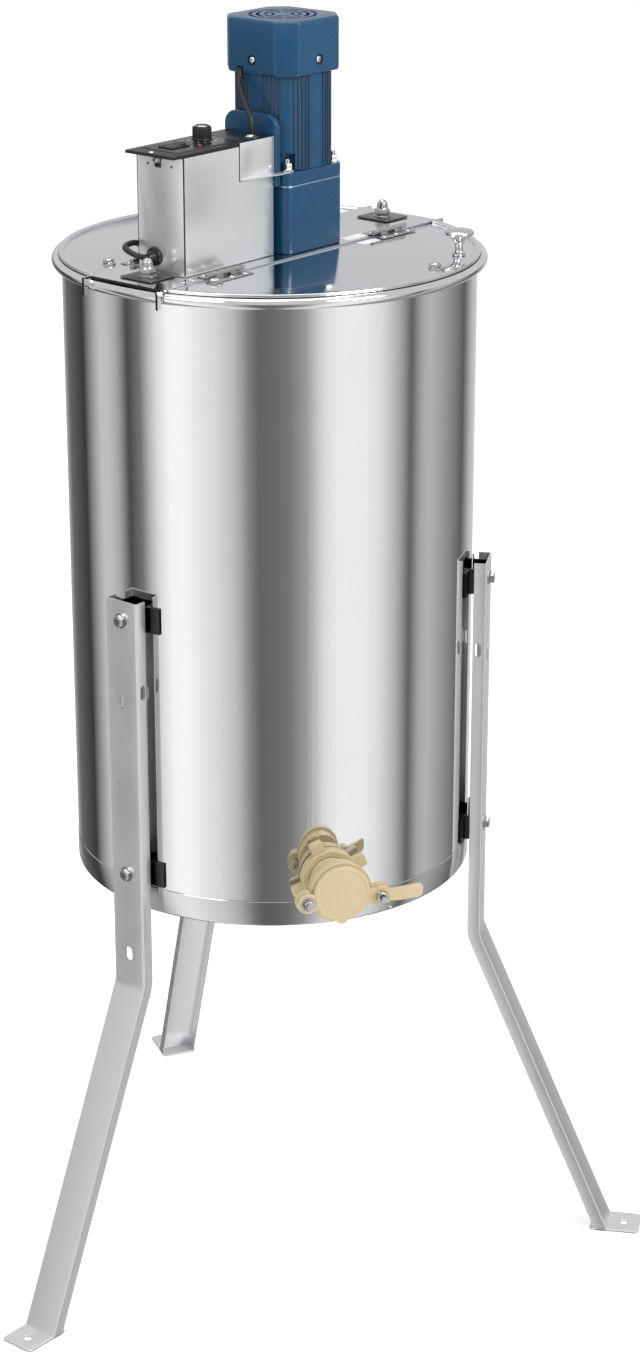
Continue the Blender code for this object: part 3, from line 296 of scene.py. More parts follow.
def softened(points, radius, steps=4):
    """A closed outline with each corner cut to a small arc-like curve."""
    result = []
    for k, corner in enumerate(points):
        here = Vector(corner)
        before, after = Vector(points[k - 1]), Vector(points[(k + 1) % len(points)])
        reach = min(radius, (before - here).length / 2.05, (after - here).length / 2.05)
        a, b = here + (before - here).normalized() * reach, here + (after - here).normalized() * reach
        for step in range(steps + 1):
            t = step / steps
            result.append(tuple(a.lerp(here, t).lerp(here.lerp(b, t), t)))
    return result


# %% Meshes


def smooth(mesh, angle=32.0):
    """Smooth shading; edges sharper than the angle stay hard."""
    mesh.shade_smooth()
    mesh.set_sharp_from_angle(angle=math.radians(angle))
    return mesh


def evaluated(item):
    """The finished mesh of an object with its modifiers; the object itself is removed."""
    bpy.context.view_layer.update()
    mesh = bpy.data.meshes.new_from_object(item.evaluated_get(bpy.context.evaluated_depsgraph_get()))
    bpy.data.objects.remove(item, do_unlink=True)
    return mesh


def holder(data, name="work"):
    """An object that holds some data, linked to the scene."""
    item = bpy.data.objects.new(name, data)
    bpy.context.scene.collection.objects.link(item)
    return item


def cleaned(mesh, within=2e-6):
    """The mesh with doubles merged and faces turned outwards."""
    bm = bmesh.new()
    bm.from_mesh(mesh)
    bmesh.ops.remove_doubles(bm, verts=bm.verts[:], dist=within)
    bmesh.ops.recalc_face_normals(bm, faces=bm.faces[:])
    bm.to_mesh(mesh)
    bm.free()
    return smooth(mesh)


def plate(outline, thickness, edge=0.0004, base=0.0, holes=()):
    """A flat outline with holes, its thickness above base, and rounded edges."""
    curve = bpy.data.curves.new("plate", "CURVE")
    curve.dimensions, curve.fill_mode = "2D", "BOTH"
    curve.extrude, curve.bevel_depth, curve.offset = thickness / 2 - edge, edge, -edge
    curve.bevel_resolution = 2
    for index, loop in enumerate((outline, *holes)):
        area = sum(a[0] * b[1] - b[0] * a[1] for a, b in zip(loop, loop[1:] + loop[:1]))
        loop = loop if (area > 0) == (index == 0) else loop[::-1]
        spline = curve.splines.new("POLY")
        spline.points.add(len(loop) - 1)
        for point, (x, y) in zip(spline.points, loop):
            point.co = (x, y, 0.0, 1.0)
        spline.use_cyclic_u = True
    mesh = evaluated(holder(curve))
    mesh.transform(move(z=base + thickness / 2))
    return cleaned(mesh)


def turned(profile, segments=64):
    """A profile of (radius, height) turned about Z; it may start and end on the axis."""
    bm = bmesh.new()
    verts = [bm.verts.new((r, 0.0, z)) for r, z in profile]
    closed = min(r for r, _ in profile) > 1e-6
    edges = [bm.edges.new((verts[k], verts[(k + 1) % len(verts)]))
             for k in range(len(verts) - (0 if closed else 1))]
    bmesh.ops.spin(bm, geom=edges + verts, cent=(0, 0, 0), axis=(0, 0, 1), angle=2 * math.pi,
                   steps=segments, use_merge=True)
    mesh = bpy.data.meshes.new("turned")
    bm.to_mesh(mesh)
    bm.free()
    return cleaned(mesh, 1e-6)


def block(low, high, edge=0.0005, segments=2):
    """A box between two corners with rounded edges."""
    bm = bmesh.new()
    size = [b - a for a, b in zip(low, high)]
    middle = [(a + b) / 2 for a, b in zip(low, high)]
    bmesh.ops.create_cube(bm, size=1.0, matrix=Matrix.Translation(middle) @ Matrix.Diagonal((*size, 1.0)))
    bmesh.ops.bevel(bm, geom=bm.edges[:], offset=edge, segments=segments, affect="EDGES", profile=0.5)
    mesh = bpy.data.meshes.new("block")
    bm.to_mesh(mesh)
    bm.free()
    return smooth(mesh, 40.0)


def hexagon(across, height, edge=0.0008, base=0.0):
    """A slice of hexagon bar, its across-flats size given, with softened edges."""
    return plate(circle(across / math.sqrt(3), 6), height, edge, base)


def together(*meshes):
    """Several meshes as one."""
    bm = bmesh.new()
    for mesh in meshes:
        bm.from_mesh(mesh)
        bpy.data.meshes.remove(mesh)
    joined = bpy.data.meshes.new("joined")
    bm.to_mesh(joined)
    bm.free()
    return smooth(joined)


def at(mesh, matrix):
    """The same mesh, moved by a matrix."""
    mesh.transform(matrix)
    return mesh


def carve(mesh, *cutters, operation="DIFFERENCE"):
    """Cut solids from a mesh, or weld them on."""
    item = holder(mesh)
    tools = [holder(cutter, "tool") for cutter in cutters]
    for tool in tools:
        modifier = item.modifiers.new("carve", "BOOLEAN")
        modifier.operation, modifier.object = operation, tool
    result = evaluated(item)
    for tool in tools:
        bpy.data.objects.remove(tool, do_unlink=True)
    return smooth(result)


def rod(radius, low, high, segments=24):
    """A plain round bar along Z between two heights."""
    return turned([(0.0, high), (radius, high), (radius, low), (0.0, low)], segments)


made_pieces = {}


def piece(name, mesh, place, material, body="frame", stands_for=()):
    """A finished piece in the machine: its place goes into its mesh, and it rides on a body."""
    mesh.name = name
    mesh.transform(place)
    mesh.materials.clear()
    mesh.materials.append(material)
    item = holder(mesh, name)
    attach(item, body)
    if stands_for:
        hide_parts(*stands_for)
    made_pieces[name] = len(mesh.polygons)
    return item


# %% [markdown]
# ## The two cables
# Cables come early, because their length is a fact of the machine. The motor lead is a
# short 5 mm cable from the control box to the fan cover. The mains lead is about 1.4 m
# of 5.5 mm cable: it leaves the box at a gland, turns its corner and is folded into a
# hank of two layers behind the box, with its plug lying on top.

# %% Routes


def smooth_route(points, spacing):
    """Points at an even spacing along a smooth curve through the given ones."""
    knots = [Vector(p) for p in points]
    knots = [2 * knots[0] - knots[1]] + knots + [2 * knots[-1] - knots[-2]]
    fine = []
    for a, b, c, d in zip(knots, knots[1:], knots[2:], knots[3:]):
        for step in range(16):
            t = step / 16
            fine.append(0.5 * ((2 * b) + (c - a) * t + (2 * a - 5 * b + 4 * c - d) * t * t
                               + (3 * b - a - 3 * c + d) * t ** 3))
    fine.append(knots[-2])
    return evenly(fine, spacing)


def evenly(fine, spacing):
    """The same line with points at an even spacing."""
    lengths = [0.0]
    for a, b in zip(fine, fine[1:]):
        lengths.append(lengths[-1] + (b - a).length)
    count = max(2, round(lengths[-1] / spacing))
    route, k = [], 0
    for step in range(count + 1):
        target = lengths[-1] * step / count
        while k < len(lengths) - 2 and lengths[k + 1] < target:
            k += 1
        share = (target - lengths[k]) / max(lengths[k + 1] - lengths[k], 1e-9)
        route.append(fine[k].lerp(fine[k + 1], share))
    return route


def length_of(route):
    return sum((b - a).length for a, b in zip(route, route[1:]))


def cable(name, route, diameter, stands_for):
    """A round cable as one curve along its centreline."""
    curve = bpy.data.curves.new(name, "CURVE")
    curve.dimensions, curve.bevel_depth, curve.bevel_resolution = "3D", diameter / 2, 4
    curve.use_fill_caps = True
    spline = curve.splines.new("POLY")
    spline.points.add(len(route) - 1)
    for point, spot in zip(spline.points, route):
        point.co = (*spot, 1.0)
    curve.materials.append(CABLE)
    item = holder(curve, name)
    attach(item, "frame")
    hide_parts(*stands_for)
    return item


MAINS_D, LEAD_D = 0.0055, 0.0050
GLAND_AT = (-0.044, -0.017)     # where the motor lead leaves the box's top
lead_knots = [(*GLAND_AT, 0.1130), (*GLAND_AT, 0.1200), (-0.0425, -0.0145, 0.1280), (-0.0395, -0.0070, 0.1370),
              (-0.0350, 0.0020, 0.1460), (-0.0295, 0.0100, 0.1545), (-0.0255, 0.0134, 0.1610),
              (-0.0235, 0.0140, 0.1680)]
lead_route = [IN_BRIDGE @ p for p in smooth_route(lead_knots, 0.003)]
print("motor lead", round(length_of(lead_route), 4), "m")

# %% [markdown]
# The hank is a flat coil shaped like a racetrack, three turns in each of its two layers.
# It is drawn as a cable winder works: the turn's end radius changes by one diameter
# along each top run, and the layer changes on one bottom run, so no turn ever crosses
# another in its own layer.

# %% The hank's winding
HANK_LEFT, HANK_RIGHT, HANK_MID = -0.10275, -0.05325, 0.03205
TURN_RADII = (0.0275, 0.0220, 0.0165, 0.0165, 0.0220, 0.0275)
OUTER_LAYER, INNER_LAYER = 0.03855, 0.03305
TAIL_Y, TAIL_Z = 0.0358, 0.0830


def eased(t):
    """A share from 0 to 1 that starts and ends slowly."""
    return t * t * (3 - 2 * t)


def winding():
    """Points of the hank, from where the lead joins its first turn to where it leaves its last."""
    points = []
    for turn, radius in enumerate(TURN_RADII):
        layer = OUTER_LAYER if turn < 3 else INNER_LAYER
        start = 240.0 if turn == 0 else 180.0
        for k in range(13):
            angle = math.radians(start + (270.0 - start) * k / 12)
            points.append((HANK_LEFT + radius * math.cos(angle), layer, HANK_MID + radius * math.sin(angle)))
        to_inner = turn == 2
        for k in range(1, 12):
            depth = layer + (INNER_LAYER - OUTER_LAYER) * eased(k / 12) * to_inner
            points.append((HANK_LEFT + (HANK_RIGHT - HANK_LEFT) * k / 12, depth, HANK_MID - radius))
        layer = INNER_LAYER if to_inner else layer
        end = 0.0 if turn == len(TURN_RADII) - 1 else 90.0
        for k in range(25 if end else 13):
            angle = math.radians(-90.0 + (end + 90.0) * k / (24 if end else 12))
            points.append((HANK_RIGHT + radius * math.cos(angle), layer, HANK_MID + radius * math.sin(angle)))
        if end:
            after = TURN_RADII[turn + 1]
            for k in range(1, 12):
                now = radius + (after - radius) * eased(k / 12)
                points.append((HANK_RIGHT + (HANK_LEFT - HANK_RIGHT) * k / 12, layer, HANK_MID + now))
            for k in range(12):
                angle = math.radians(90.0 + 90.0 * k / 12)
                points.append((HANK_LEFT + after * math.cos(angle), layer, HANK_MID + after * math.sin(angle)))
    return points


inlet_knots = [(-0.1540, 0.0080, 0.0150), (-0.1585, 0.0090, 0.0152), (-0.1622, 0.0128, 0.0158),
               (-0.1640, 0.0190, 0.0172), (-0.1638, 0.0262, 0.0190), (-0.1612, 0.0332, 0.0204),
               (-0.1560, 0.0376, 0.0214), (-0.1490, 0.0388, 0.0222), (-0.1420, 0.0387, 0.0218),
               (-0.1350, 0.03855, 0.0189), (-0.1265, 0.03855, 0.0140)]
tail_knots = [(-0.02575, 0.0331, 0.0400), (-0.02575, 0.0336, 0.0480), (-0.02575, 0.0346, 0.0570),
              (-0.02595, 0.0356, 0.0655), (-0.0278, TAIL_Y, 0.0735), (-0.0325, TAIL_Y, 0.0795),
              (-0.0390, TAIL_Y, 0.0827), (-0.0470, TAIL_Y, TAIL_Z)]
hank_line = winding()
mains_route = [IN_BRIDGE @ p for p in smooth_route(inlet_knots + hank_line[1:] + tail_knots, 0.004)]
print("mains lead", round(length_of(mains_route), 4), "m, hank", len(hank_line), "points")

# %% The plug, the gland and the cables themselves
PLUG_DEPTH, RING_STEP = 0.0126, 0.0030
plug_outline = softened([(-0.0950, 0.0700), (-0.0950, 0.0960), (-0.0900, 0.0988), (-0.0640, 0.0950),
                         (-0.0600, 0.0890), (-0.0600, 0.0770), (-0.0640, 0.0710), (-0.0900, 0.0672)], 0.003)
plug_block = at(plate(plug_outline, PLUG_DEPTH, 0.0022), move(y=TAIL_Y + PLUG_DEPTH / 2) @ STAND_Y)
sleeve = [(0.0, 0.0190), (0.0036, 0.0190), (0.0040, 0.0160), (0.0046, 0.0080), (0.0058, 0.0), (0.0, 0.0)]
sleeve_parts = [at(turned(sleeve, 32), move(-0.0610, TAIL_Y, TAIL_Z) @ Z_TO_X)]
for k in range(5):
    sleeve_parts.append(at(rod(0.0051 - 0.0002 * k, 0.0, 0.0011),
                           move(-0.0585 + RING_STEP * k, TAIL_Y, TAIL_Z) @ Z_TO_X))
plug = piece("plug", together(plug_block, *sleeve_parts), IN_BRIDGE, ABS,
             stands_for=("mains_plug",))
pin = [(0.0, 0.0200), (0.0020, 0.0200), (0.0020, 0.0012), (0.0016, 0.0), (0.0, 0.0)]
pins = [at(turned(pin, 24), move(-0.1140, TAIL_Y, z) @ Z_TO_X) for z in (0.0735, 0.0925)]
plug_pins = piece("plug_pins", together(*pins), IN_BRIDGE, TURNED)

mains_lead = cable("mains_lead", mains_route, MAINS_D, ("mains_cord", "cord_hank"))
motor_cable = cable("motor_cable", lead_route, LEAD_D, ("motor_lead",))

gland_mesh = together(
    turned([(0.0031, 0.0), (0.0088, 0.0), (0.0088, 0.0014), (0.0080, 0.0028), (0.0060, 0.0034),
            (0.0031, 0.0034)], 40),
    turned([(0.0030, 0.0030), (0.0058, 0.0030), (0.0052, 0.0060), (0.0036, 0.0105), (0.0030, 0.0105)], 40))
gland_place = IN_BRIDGE @ move(-0.1491, 0.0080, 0.0150) @ Matrix.Rotation(-math.pi / 2, 4, "Y")
piece("box_inlet_gland", gland_mesh, gland_place, ABS, stands_for=("mains_gland",))

# %% [markdown]
# ## Geometry Nodes for what repeats
# Screws, ribs, wires and teeth repeat, so each comes from one small tree. The first tree
# puts a copy of a template on every point of a mesh, upright and turned to a heading.
# Copies on points are cheap to place, and Realize Instances turns them into plain mesh.

# %% Trees: copies on points, a turned shell, a swept channel


def new_tree(name, inputs):
    """An empty tree with a geometry input, the named inputs and a geometry output."""
    tree = bpy.data.node_groups.new(name, "GeometryNodeTree")
    tree.interface.new_socket("Geometry", in_out="INPUT", socket_type="NodeSocketGeometry")
    for label, kind in inputs:
        tree.interface.new_socket(label, in_out="INPUT", socket_type=kind)
    tree.interface.new_socket("Geometry", in_out="OUTPUT", socket_type="NodeSocketGeometry")
    return tree, tree.nodes.new("NodeGroupInput").outputs


def finish_tree(tree, inputs, last):
    """Realize, give the material and send the result out."""
    real = add(tree, "GeometryNodeRealizeInstances", links={"Geometry": last})
    named = add(tree, "GeometryNodeSetMaterial",
                links={"Geometry": real.outputs[0], "Material": inputs["Material"]})
    add(tree, "NodeGroupOutput", links={0: named.outputs[0]})
    return tree


def run_tree(tree, base, values):
    """Run a tree on a base mesh; its inputs are set by their identifiers before it is evaluated."""
    item = holder(base)
    modifier = item.modifiers.new("tree", "NODES")
    modifier.node_group = tree
    for socket in tree.interface.items_tree:
        if socket.in_out == "INPUT" and socket.name in values:
            modifier[socket.identifier] = values[socket.name]
    return evaluated(item)


def points_mesh(spots):
    """A mesh of loose points, each with its heading, a level direction."""
    mesh = bpy.data.meshes.new("points")
    mesh.from_pydata([spot for spot, _ in spots], [], [])
    facing = mesh.attributes.new("facing", "FLOAT_VECTOR", "POINT")
    for value, (_, way) in zip(facing.data, spots):
        value.vector = way
    return mesh


copies_tree, given = new_tree("copies_on_points", [("Template", "NodeSocketObject"),
                                                   ("Material", "NodeSocketMaterial")])
facing = add(copies_tree, "GeometryNodeInputNamedAttribute", {"data_type": "FLOAT_VECTOR", "Name": "facing"})
template = add(copies_tree, "GeometryNodeObjectInfo", links={"Object": given["Template"]})
headed = add(copies_tree, "FunctionNodeAlignRotationToVector", {"axis": "X", "pivot_axis": "Z"},
             {"Vector": facing.outputs[0]})
copies = add(copies_tree, "GeometryNodeInstanceOnPoints", links={
    "Points": given["Geometry"], "Instance": template.outputs["Geometry"], "Rotation": headed.outputs[0]})
finish_tree(copies_tree, given, copies.outputs[0])


def copied(template_mesh, spots, material):
    """The mesh of one copy of a template on each spot; spots are (point, heading)."""
    pattern = holder(template_mesh, "template")
    mesh = run_tree(copies_tree, points_mesh(spots), {"Template": pattern, "Material": material})
    bpy.data.objects.remove(pattern, do_unlink=True)
    return smooth(mesh)


def repeated(name, template_mesh, spots, place, material, body="frame"):
    """Copies of a template as one piece."""
    return piece(name, copied(template_mesh, spots, material), place, material, body)


shell_tree, given = new_tree("turned_shell", [("Segments", "NodeSocketInt"), ("Rail radius", "NodeSocketFloat"),
                                              ("Material", "NodeSocketMaterial")])
section = add(shell_tree, "GeometryNodeMeshToCurve", links={"Mesh": given["Geometry"]})
laid = add(shell_tree, "GeometryNodeTransform", {"Rotation": (math.pi / 2, 0, 0)}, {"Geometry": section.outputs[0]})
back = add(shell_tree, "ShaderNodeVectorMath", {"operation": "MULTIPLY", 1: (-1, 0, 0)},
           {0: given["Rail radius"]})
shifted = add(shell_tree, "GeometryNodeTransform",
              links={"Geometry": laid.outputs[0], "Translation": back.outputs[0]})
rail = add(shell_tree, "GeometryNodeCurvePrimitiveCircle",
           links={"Resolution": given["Segments"], "Radius": given["Rail radius"]})
swept = add(shell_tree, "GeometryNodeCurveToMesh",
            links={"Curve": rail.outputs["Curve"], "Profile Curve": shifted.outputs[0]})
finish_tree(shell_tree, given, swept.outputs[0])


def shell(profile, segments=256):
    """A thin turned wall from a closed profile of (radius, height)."""
    mesh = bpy.data.meshes.new("profile")
    count = len(profile)
    mesh.from_pydata([(r, 0.0, z) for r, z in profile], [(k, (k + 1) % count) for k in range(count)], [])
    return cleaned(run_tree(shell_tree, mesh, {"Segments": segments, "Rail radius": 0.1, "Material": POLISHED}))


channel_tree, given = new_tree("swept_channel", [("Section", "NodeSocketObject"),
                                                 ("Material", "NodeSocketMaterial")])
path = add(channel_tree, "GeometryNodeMeshToCurve", links={"Mesh": given["Geometry"]})
upright = add(channel_tree, "GeometryNodeSetCurveNormal", {"mode": "FREE", "Normal": (0, 1, 0)},
              {"Curve": path.outputs[0]})
shape = add(channel_tree, "GeometryNodeObjectInfo", links={"Object": given["Section"]})
outline = add(channel_tree, "GeometryNodeMeshToCurve", links={"Mesh": shape.outputs["Geometry"]})
strip = add(channel_tree, "GeometryNodeCurveToMesh", {"Fill Caps": True},
            {"Curve": upright.outputs[0], "Profile Curve": outline.outputs[0]})
finish_tree(channel_tree, given, strip.outputs[0])
print("trees:", [tree.name for tree in bpy.data.node_groups])

# %% [markdown]
# ## Drum
# The wall is one sheet rolled round and curled outwards over a wire at the top, which
# makes the rim both stiff and safe to touch. A shape that follows one rule all the way
# round is best made as a section swept round a circle, with enough steps that its
# reflections stay straight.

# %% Drum wall, skirt band and floor
bead = circle(0.005, 26, (0.1995, BEAD_Z), 180.0, -152.0)
SEAM_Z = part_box("base_band")[1].z
wall_profile = bead + [(DRUM_RADIUS, SEAM_Z + 0.0004), (0.1938, SEAM_Z + 0.0004), (0.1938, BEAD_Z - 0.004)]
wall = shell(wall_profile)
outlet = at(rod(0.021, 0.15, 0.23, 48), heading(GATE_HEADING) @ move(z=GATE_Z) @ Z_TO_X)
piece("drum_wall_sheet", carve(wall, outlet), IN_DRUM, POLISHED, stands_for=("drum_wall",))

band_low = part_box("base_band")[0].z
band_profile = [(0.1953, SEAM_Z - 0.0006), (0.1953, band_low + 0.0018), (0.1950, band_low + 0.0008),
                (0.1943, band_low), (0.1912, band_low), (0.1912, band_low + 0.0010), (0.1938, band_low + 0.0012),
                (0.1941, SEAM_Z), (0.1949, SEAM_Z)]
piece("skirt_band", shell(band_profile), IN_DRUM, BAND_STEEL, stands_for=("base_band",))
floor_profile = [(0.0, 0.4340), (0.029, 0.4340), (0.040, 0.4333), (0.180, 0.4178), (0.1900, 0.4163),
                 (0.1930, 0.4140), (0.1937, 0.4105), (0.1937, 0.4040), (0.1925, 0.4040), (0.1925, 0.4105),
                 (0.1915, 0.4128), (0.1890, 0.4150), (0.040, 0.4321), (0.0, 0.4325)]
piece("dished_floor", turned(floor_profile, 160), IN_DRUM, POLISHED,
      stands_for=("drum_floor",))
print("drum wall", made_pieces["drum_wall_sheet"], "faces")

# %% The wall's long weld, at the back
weld = plate(rounded(0.0013, 0.2850, 0.0010, (0.0, 0.7130)), 0.0005, 0.0001)
seam_place = IN_DRUM @ heading(62) @ move(x=DRUM_RADIUS - 0.0002) @ STAND_X
piece("wall_seam_weld", weld, seam_place, BRUSHED)

# %% [markdown]
# ## Legs
# Each leg is a strip folded into a channel and bent once. Its section stays the same all
# along a bent path, so a swept section is the natural way to make it. Slots, bolt holes
# and the cut at the floor come off afterwards, as in the workshop, and a foot plate goes on.

# %% Leg path, section and holes
LEG_FACE, LEG_TOP, LEG_BEND, FOOT_RADIUS = 0.213, 0.715, 0.325, 0.352
LEG_HALF, LEG_DEPTH, LEG_SHEET = 0.019, 0.0125, 0.0015
splay = math.atan2(FOOT_RADIUS - LEG_FACE, LEG_BEND)
BEND_RADIUS = 0.030
reach = BEND_RADIUS * math.tan(splay / 2)
bend = circle(BEND_RADIUS, 9, (LEG_FACE + BEND_RADIUS, LEG_BEND + reach), 180.0, 180.0 + math.degrees(splay))
leg_path = [(LEG_FACE, LEG_TOP), *bend, (FOOT_RADIUS + 0.02 * math.tan(splay), -0.02)]
path_mesh = bpy.data.meshes.new("leg_path")
path_mesh.from_pydata([(x, 0.0, z) for x, z in leg_path], [(k, k + 1) for k in range(len(leg_path) - 1)], [])

d, h, t = LEG_DEPTH, LEG_HALF, LEG_SHEET
outside = softened([(-h, -d), (-h, 0.0), (h, 0.0), (h, -d), (h - t, -d), (h - t, -t), (t - h, -t),
                    (t - h, -d)], 0.0017)
section_mesh = bpy.data.meshes.new("leg_section")
count = len(outside)
section_mesh.from_pydata([(x, y, 0.0) for x, y in outside], [(k, (k + 1) % count) for k in range(count)], [])
section_item = holder(section_mesh, "leg_section")
leg = cleaned(run_tree(channel_tree, path_mesh, {"Section": section_item, "Material": BRUSHED}))
bpy.data.objects.remove(section_item, do_unlink=True)
spans = [[min(v.co[k] for v in leg.vertices), max(v.co[k] for v in leg.vertices)] for k in range(3)]
print("leg sweep spans", [[round(a, 4) for a in span] for span in spans])

# %% Cut the leg, add its foot and set it three times round the drum
slot_hole = rounded(0.0042, 0.0072, 0.0041)
cutters = [at(plate(slot_hole, 0.02, 0.0001), move(0.20, 0.0, z) @ STAND_X) for z in (0.615, 0.356)]
cutters.append(at(plate(rounded(0.003, 0.007, 0.0029, (0.2060, 0.627)), 0.06, 0.0001), move(y=0.03) @ STAND_Y))
cutters.append(block((0.2, -0.05, -0.1), (0.5, 0.05, 0.0), 0.001))
FOOT_TIP = 0.3835
foot = plate(rounded(0.0253, LEG_HALF, 0.0046, (FOOT_TIP - 0.0255, 0.0)), 0.0022, 0.0005,
             holes=[circle(0.0042, 28, (0.367, 0.0))])
leg = together(carve(leg, *cutters), foot)
AZIMUTHS = {"rear": 90.0, "front_left": 210.0, "front_right": 330.0}
for name, azimuth in AZIMUTHS.items():
    piece(f"{name}_leg_channel", leg.copy(), IN_DRUM @ heading(azimuth), BRUSHED,
          stands_for=(f"leg_{name}",))
print("one leg", len(leg.polygons), "faces")

# %% [markdown]
# The leg bolts are ordinary hex bolts with a washer. Six of them are the same, so the
# copying tree places them, two on each leg, each turned to face away from the drum.

# %% Leg bolts


def hex_bolt(across, head, washer):
    """A hex head on a washer, standing on z = 0."""
    return together(
        turned([(0.0, 0.0010), (washer - 0.0003, 0.0010), (washer, 0.0007), (washer, 0.0), (0.0, 0.0)], 40),
        hexagon(across, head - 0.0004, 0.0007, 0.0010),
        turned([(0.0, head + 0.0010), (across * 0.34, head + 0.0010), (across * 0.46, head + 0.0002),
                (across * 0.46, head - 0.0008), (0.0, head - 0.0008)], 32))


def around(azimuth, radius, z):
    """A spot on a circle at an azimuth in degrees, with its heading outwards."""
    a = math.radians(azimuth)
    return (radius * math.cos(a), radius * math.sin(a), z), (math.cos(a), math.sin(a), 0.0)


LEG_BOLT_Z = (0.696, 0.440)
repeated("leg_bolts", at(hex_bolt(0.0105, 0.0046, 0.0074), Z_TO_X),
         [around(a, LEG_FACE, z) for a in AZIMUTHS.values() for z in LEG_BOLT_Z], IN_DRUM, HARDWARE)

# %% [markdown]
# ## Honey gate
# The gate is moulded nylon: a threaded body screwed through the wall with a lugged lock
# nut, and a shutter that swings on one bolt and is clamped by a wing nut on the other.
# Round parts are turned with soft edges, because moulded plastic has no sharp ones.

# %% Gate body and lock nut
GATE_FACE, PIVOT_Y, CLAMP_Y, EAR_Z, GATE_BORE = 0.2415, -0.033, 0.038, -0.006, 0.016
EARS_Y = (PIVOT_Y, CLAMP_Y)
thread = []
for k in range(6):
    thread += [(0.0197, 0.2075 + 0.0026 * k), (0.0205, 0.2083 + 0.0026 * k)]
body_profile = [(0.0, 0.1845), (0.0260, 0.1845), (0.0265, 0.1850), (0.0265, 0.1875), (0.0260, 0.1880),
                (0.0205, 0.1884), (0.0205, 0.2068), *thread, (0.0205, 0.2222), (0.0250, 0.2226), (0.0268, 0.2235),
                (0.0275, 0.2252), (0.0275, 0.2340), (0.0286, 0.2350), (0.0296, 0.2352), (0.0300, 0.2358),
                (0.0300, 0.2406), (0.0294, 0.2414), (0.0286, 0.2415), (0.0, 0.2415)]
gate_body = at(turned(body_profile, 96), Z_TO_X)
ears = [at(plate(circle(0.0105, 40, (y, EAR_Z)), 0.0061, 0.0011), move(0.2352) @ STAND_X) for y in EARS_Y]
webs = []
for y in EARS_Y:
    inner = math.copysign(GATE_BORE + 0.0015, y)
    web = softened([(inner, -0.0140), (inner, 0.0032), (y, 0.0030), (y, -0.0138)], 0.001)
    webs.append(at(plate(web, 0.0059, 0.0011), move(0.2353) @ STAND_X))
bore = at(rod(GATE_BORE, 0.15, 0.30, 64), Z_TO_X)
gate_body = together(carve(carve(gate_body, *ears, operation="UNION"), bore), *webs)
piece("gate_moulded_body", gate_body, IN_GATE, NYLON, stands_for=("gate_body",))

nut_profile = [(0.0212, 0.0), (0.0262, 0.0), (0.0270, 0.0008), (0.0270, 0.0102), (0.0262, 0.0110), (0.0212, 0.0110)]
lug = at(plate(rounded(0.0064, 0.0078, 0.0026, (0.0, 0.0305)), 0.0072, 0.0012), move(0.0019) @ STAND_X)
lugs = [at(lug.copy(), Matrix.Rotation(math.radians(a - 90.0), 4, "X")) for a in (22.0, 112.0, 202.0, 292.0)]
bpy.data.meshes.remove(lug)
lock_nut = carve(at(turned(nut_profile, 72), Z_TO_X), *lugs, operation="UNION")
piece("gate_lugged_nut", lock_nut, IN_GATE @ move(0.1957), NYLON,
      stands_for=("gate_lock_nut",))

# %% Shutter and lever
BASE = GATE_FACE + 0.0003
disc_profile = [(0.0, 0.0053), (0.0200, 0.0052), (0.0215, 0.0046), (0.0235, 0.0046), (0.0245, 0.0052),
                (0.0262, 0.0050), (0.0272, 0.0042), (0.0275, 0.0030), (0.0275, 0.0010), (0.0268, 0.0002),
                (0.0, 0.0002)]
disc = at(turned(disc_profile, 96), Z_TO_X)
lip = at(plate(softened([(-0.0120, -0.0225), (0.0120, -0.0225), (0.0, -0.0318)], 0.004), 0.0042, 0.0009),
         move(0.0003) @ STAND_X)
ears = [at(plate(circle(0.0100, 40, (y, EAR_Z)), 0.0046, 0.0010), move(0.0003) @ STAND_X) for y in EARS_Y]
webs = [at(plate(softened([(0.0, -0.0140), (0.0, 0.0030), (y, 0.0022), (y, -0.0138)], 0.001), 0.0044, 0.0009),
           move(0.0004) @ STAND_X) for y in EARS_Y]
lever_outline = softened([(0.0400, -0.0120), (0.0560, -0.0132), (0.0790, -0.0118), (0.0790, 0.0022),
                          (0.0560, 0.0000), (0.0400, -0.0005)], 0.0060, 6)
lever = at(plate(lever_outline, 0.0044, 0.0014), move(0.0004) @ STAND_X)
slot_cut = at(plate(softened([(0.0338, -0.0300), (0.0422, -0.0300), (0.0422, -0.0060), (0.0398, -0.0018),
                              (0.0362, -0.0018), (0.0338, -0.0060)], 0.0016), 0.02, 0.0001), move(-0.005) @ STAND_X)
shutter = carve(carve(disc, lip, *ears, *webs, lever, operation="UNION"), slot_cut)
piece("gate_swing_shutter", shutter, IN_GATE @ move(BASE), NYLON, "gate_shutter",
      ("gate_shutter",))

# %% Gate bolt, stud and wing nut
pivot = together(
    at(hexagon(0.0092, 0.0036, 0.0006), move(-0.0103) @ Z_TO_X),
    at(rod(0.0029, -0.0068, 0.0115, 28), Z_TO_X),
    at(turned([(0.0, 0.0062), (0.0068, 0.0062), (0.0068, 0.0053), (0.0, 0.0053)], 32), Z_TO_X),
    at(hexagon(0.0094, 0.0042, 0.0006), move(0.0062) @ Z_TO_X))
piece("gate_pivot_screw", pivot, IN_GATE @ move(BASE, PIVOT_Y, EAR_Z), HARDWARE,
      stands_for=("gate_pivot_bolt",))
piece("gate_clamp_stud", at(rod(0.0028, -0.0040, 0.0152, 28), Z_TO_X), IN_GATE @ move(GATE_FACE, CLAMP_Y, EAR_Z),
      HARDWARE)
hub = turned([(0.0033, 0.0), (0.0056, 0.0), (0.0058, 0.0006), (0.0052, 0.0050), (0.0047, 0.0055),
              (0.0033, 0.0055)], 36)
wings = []
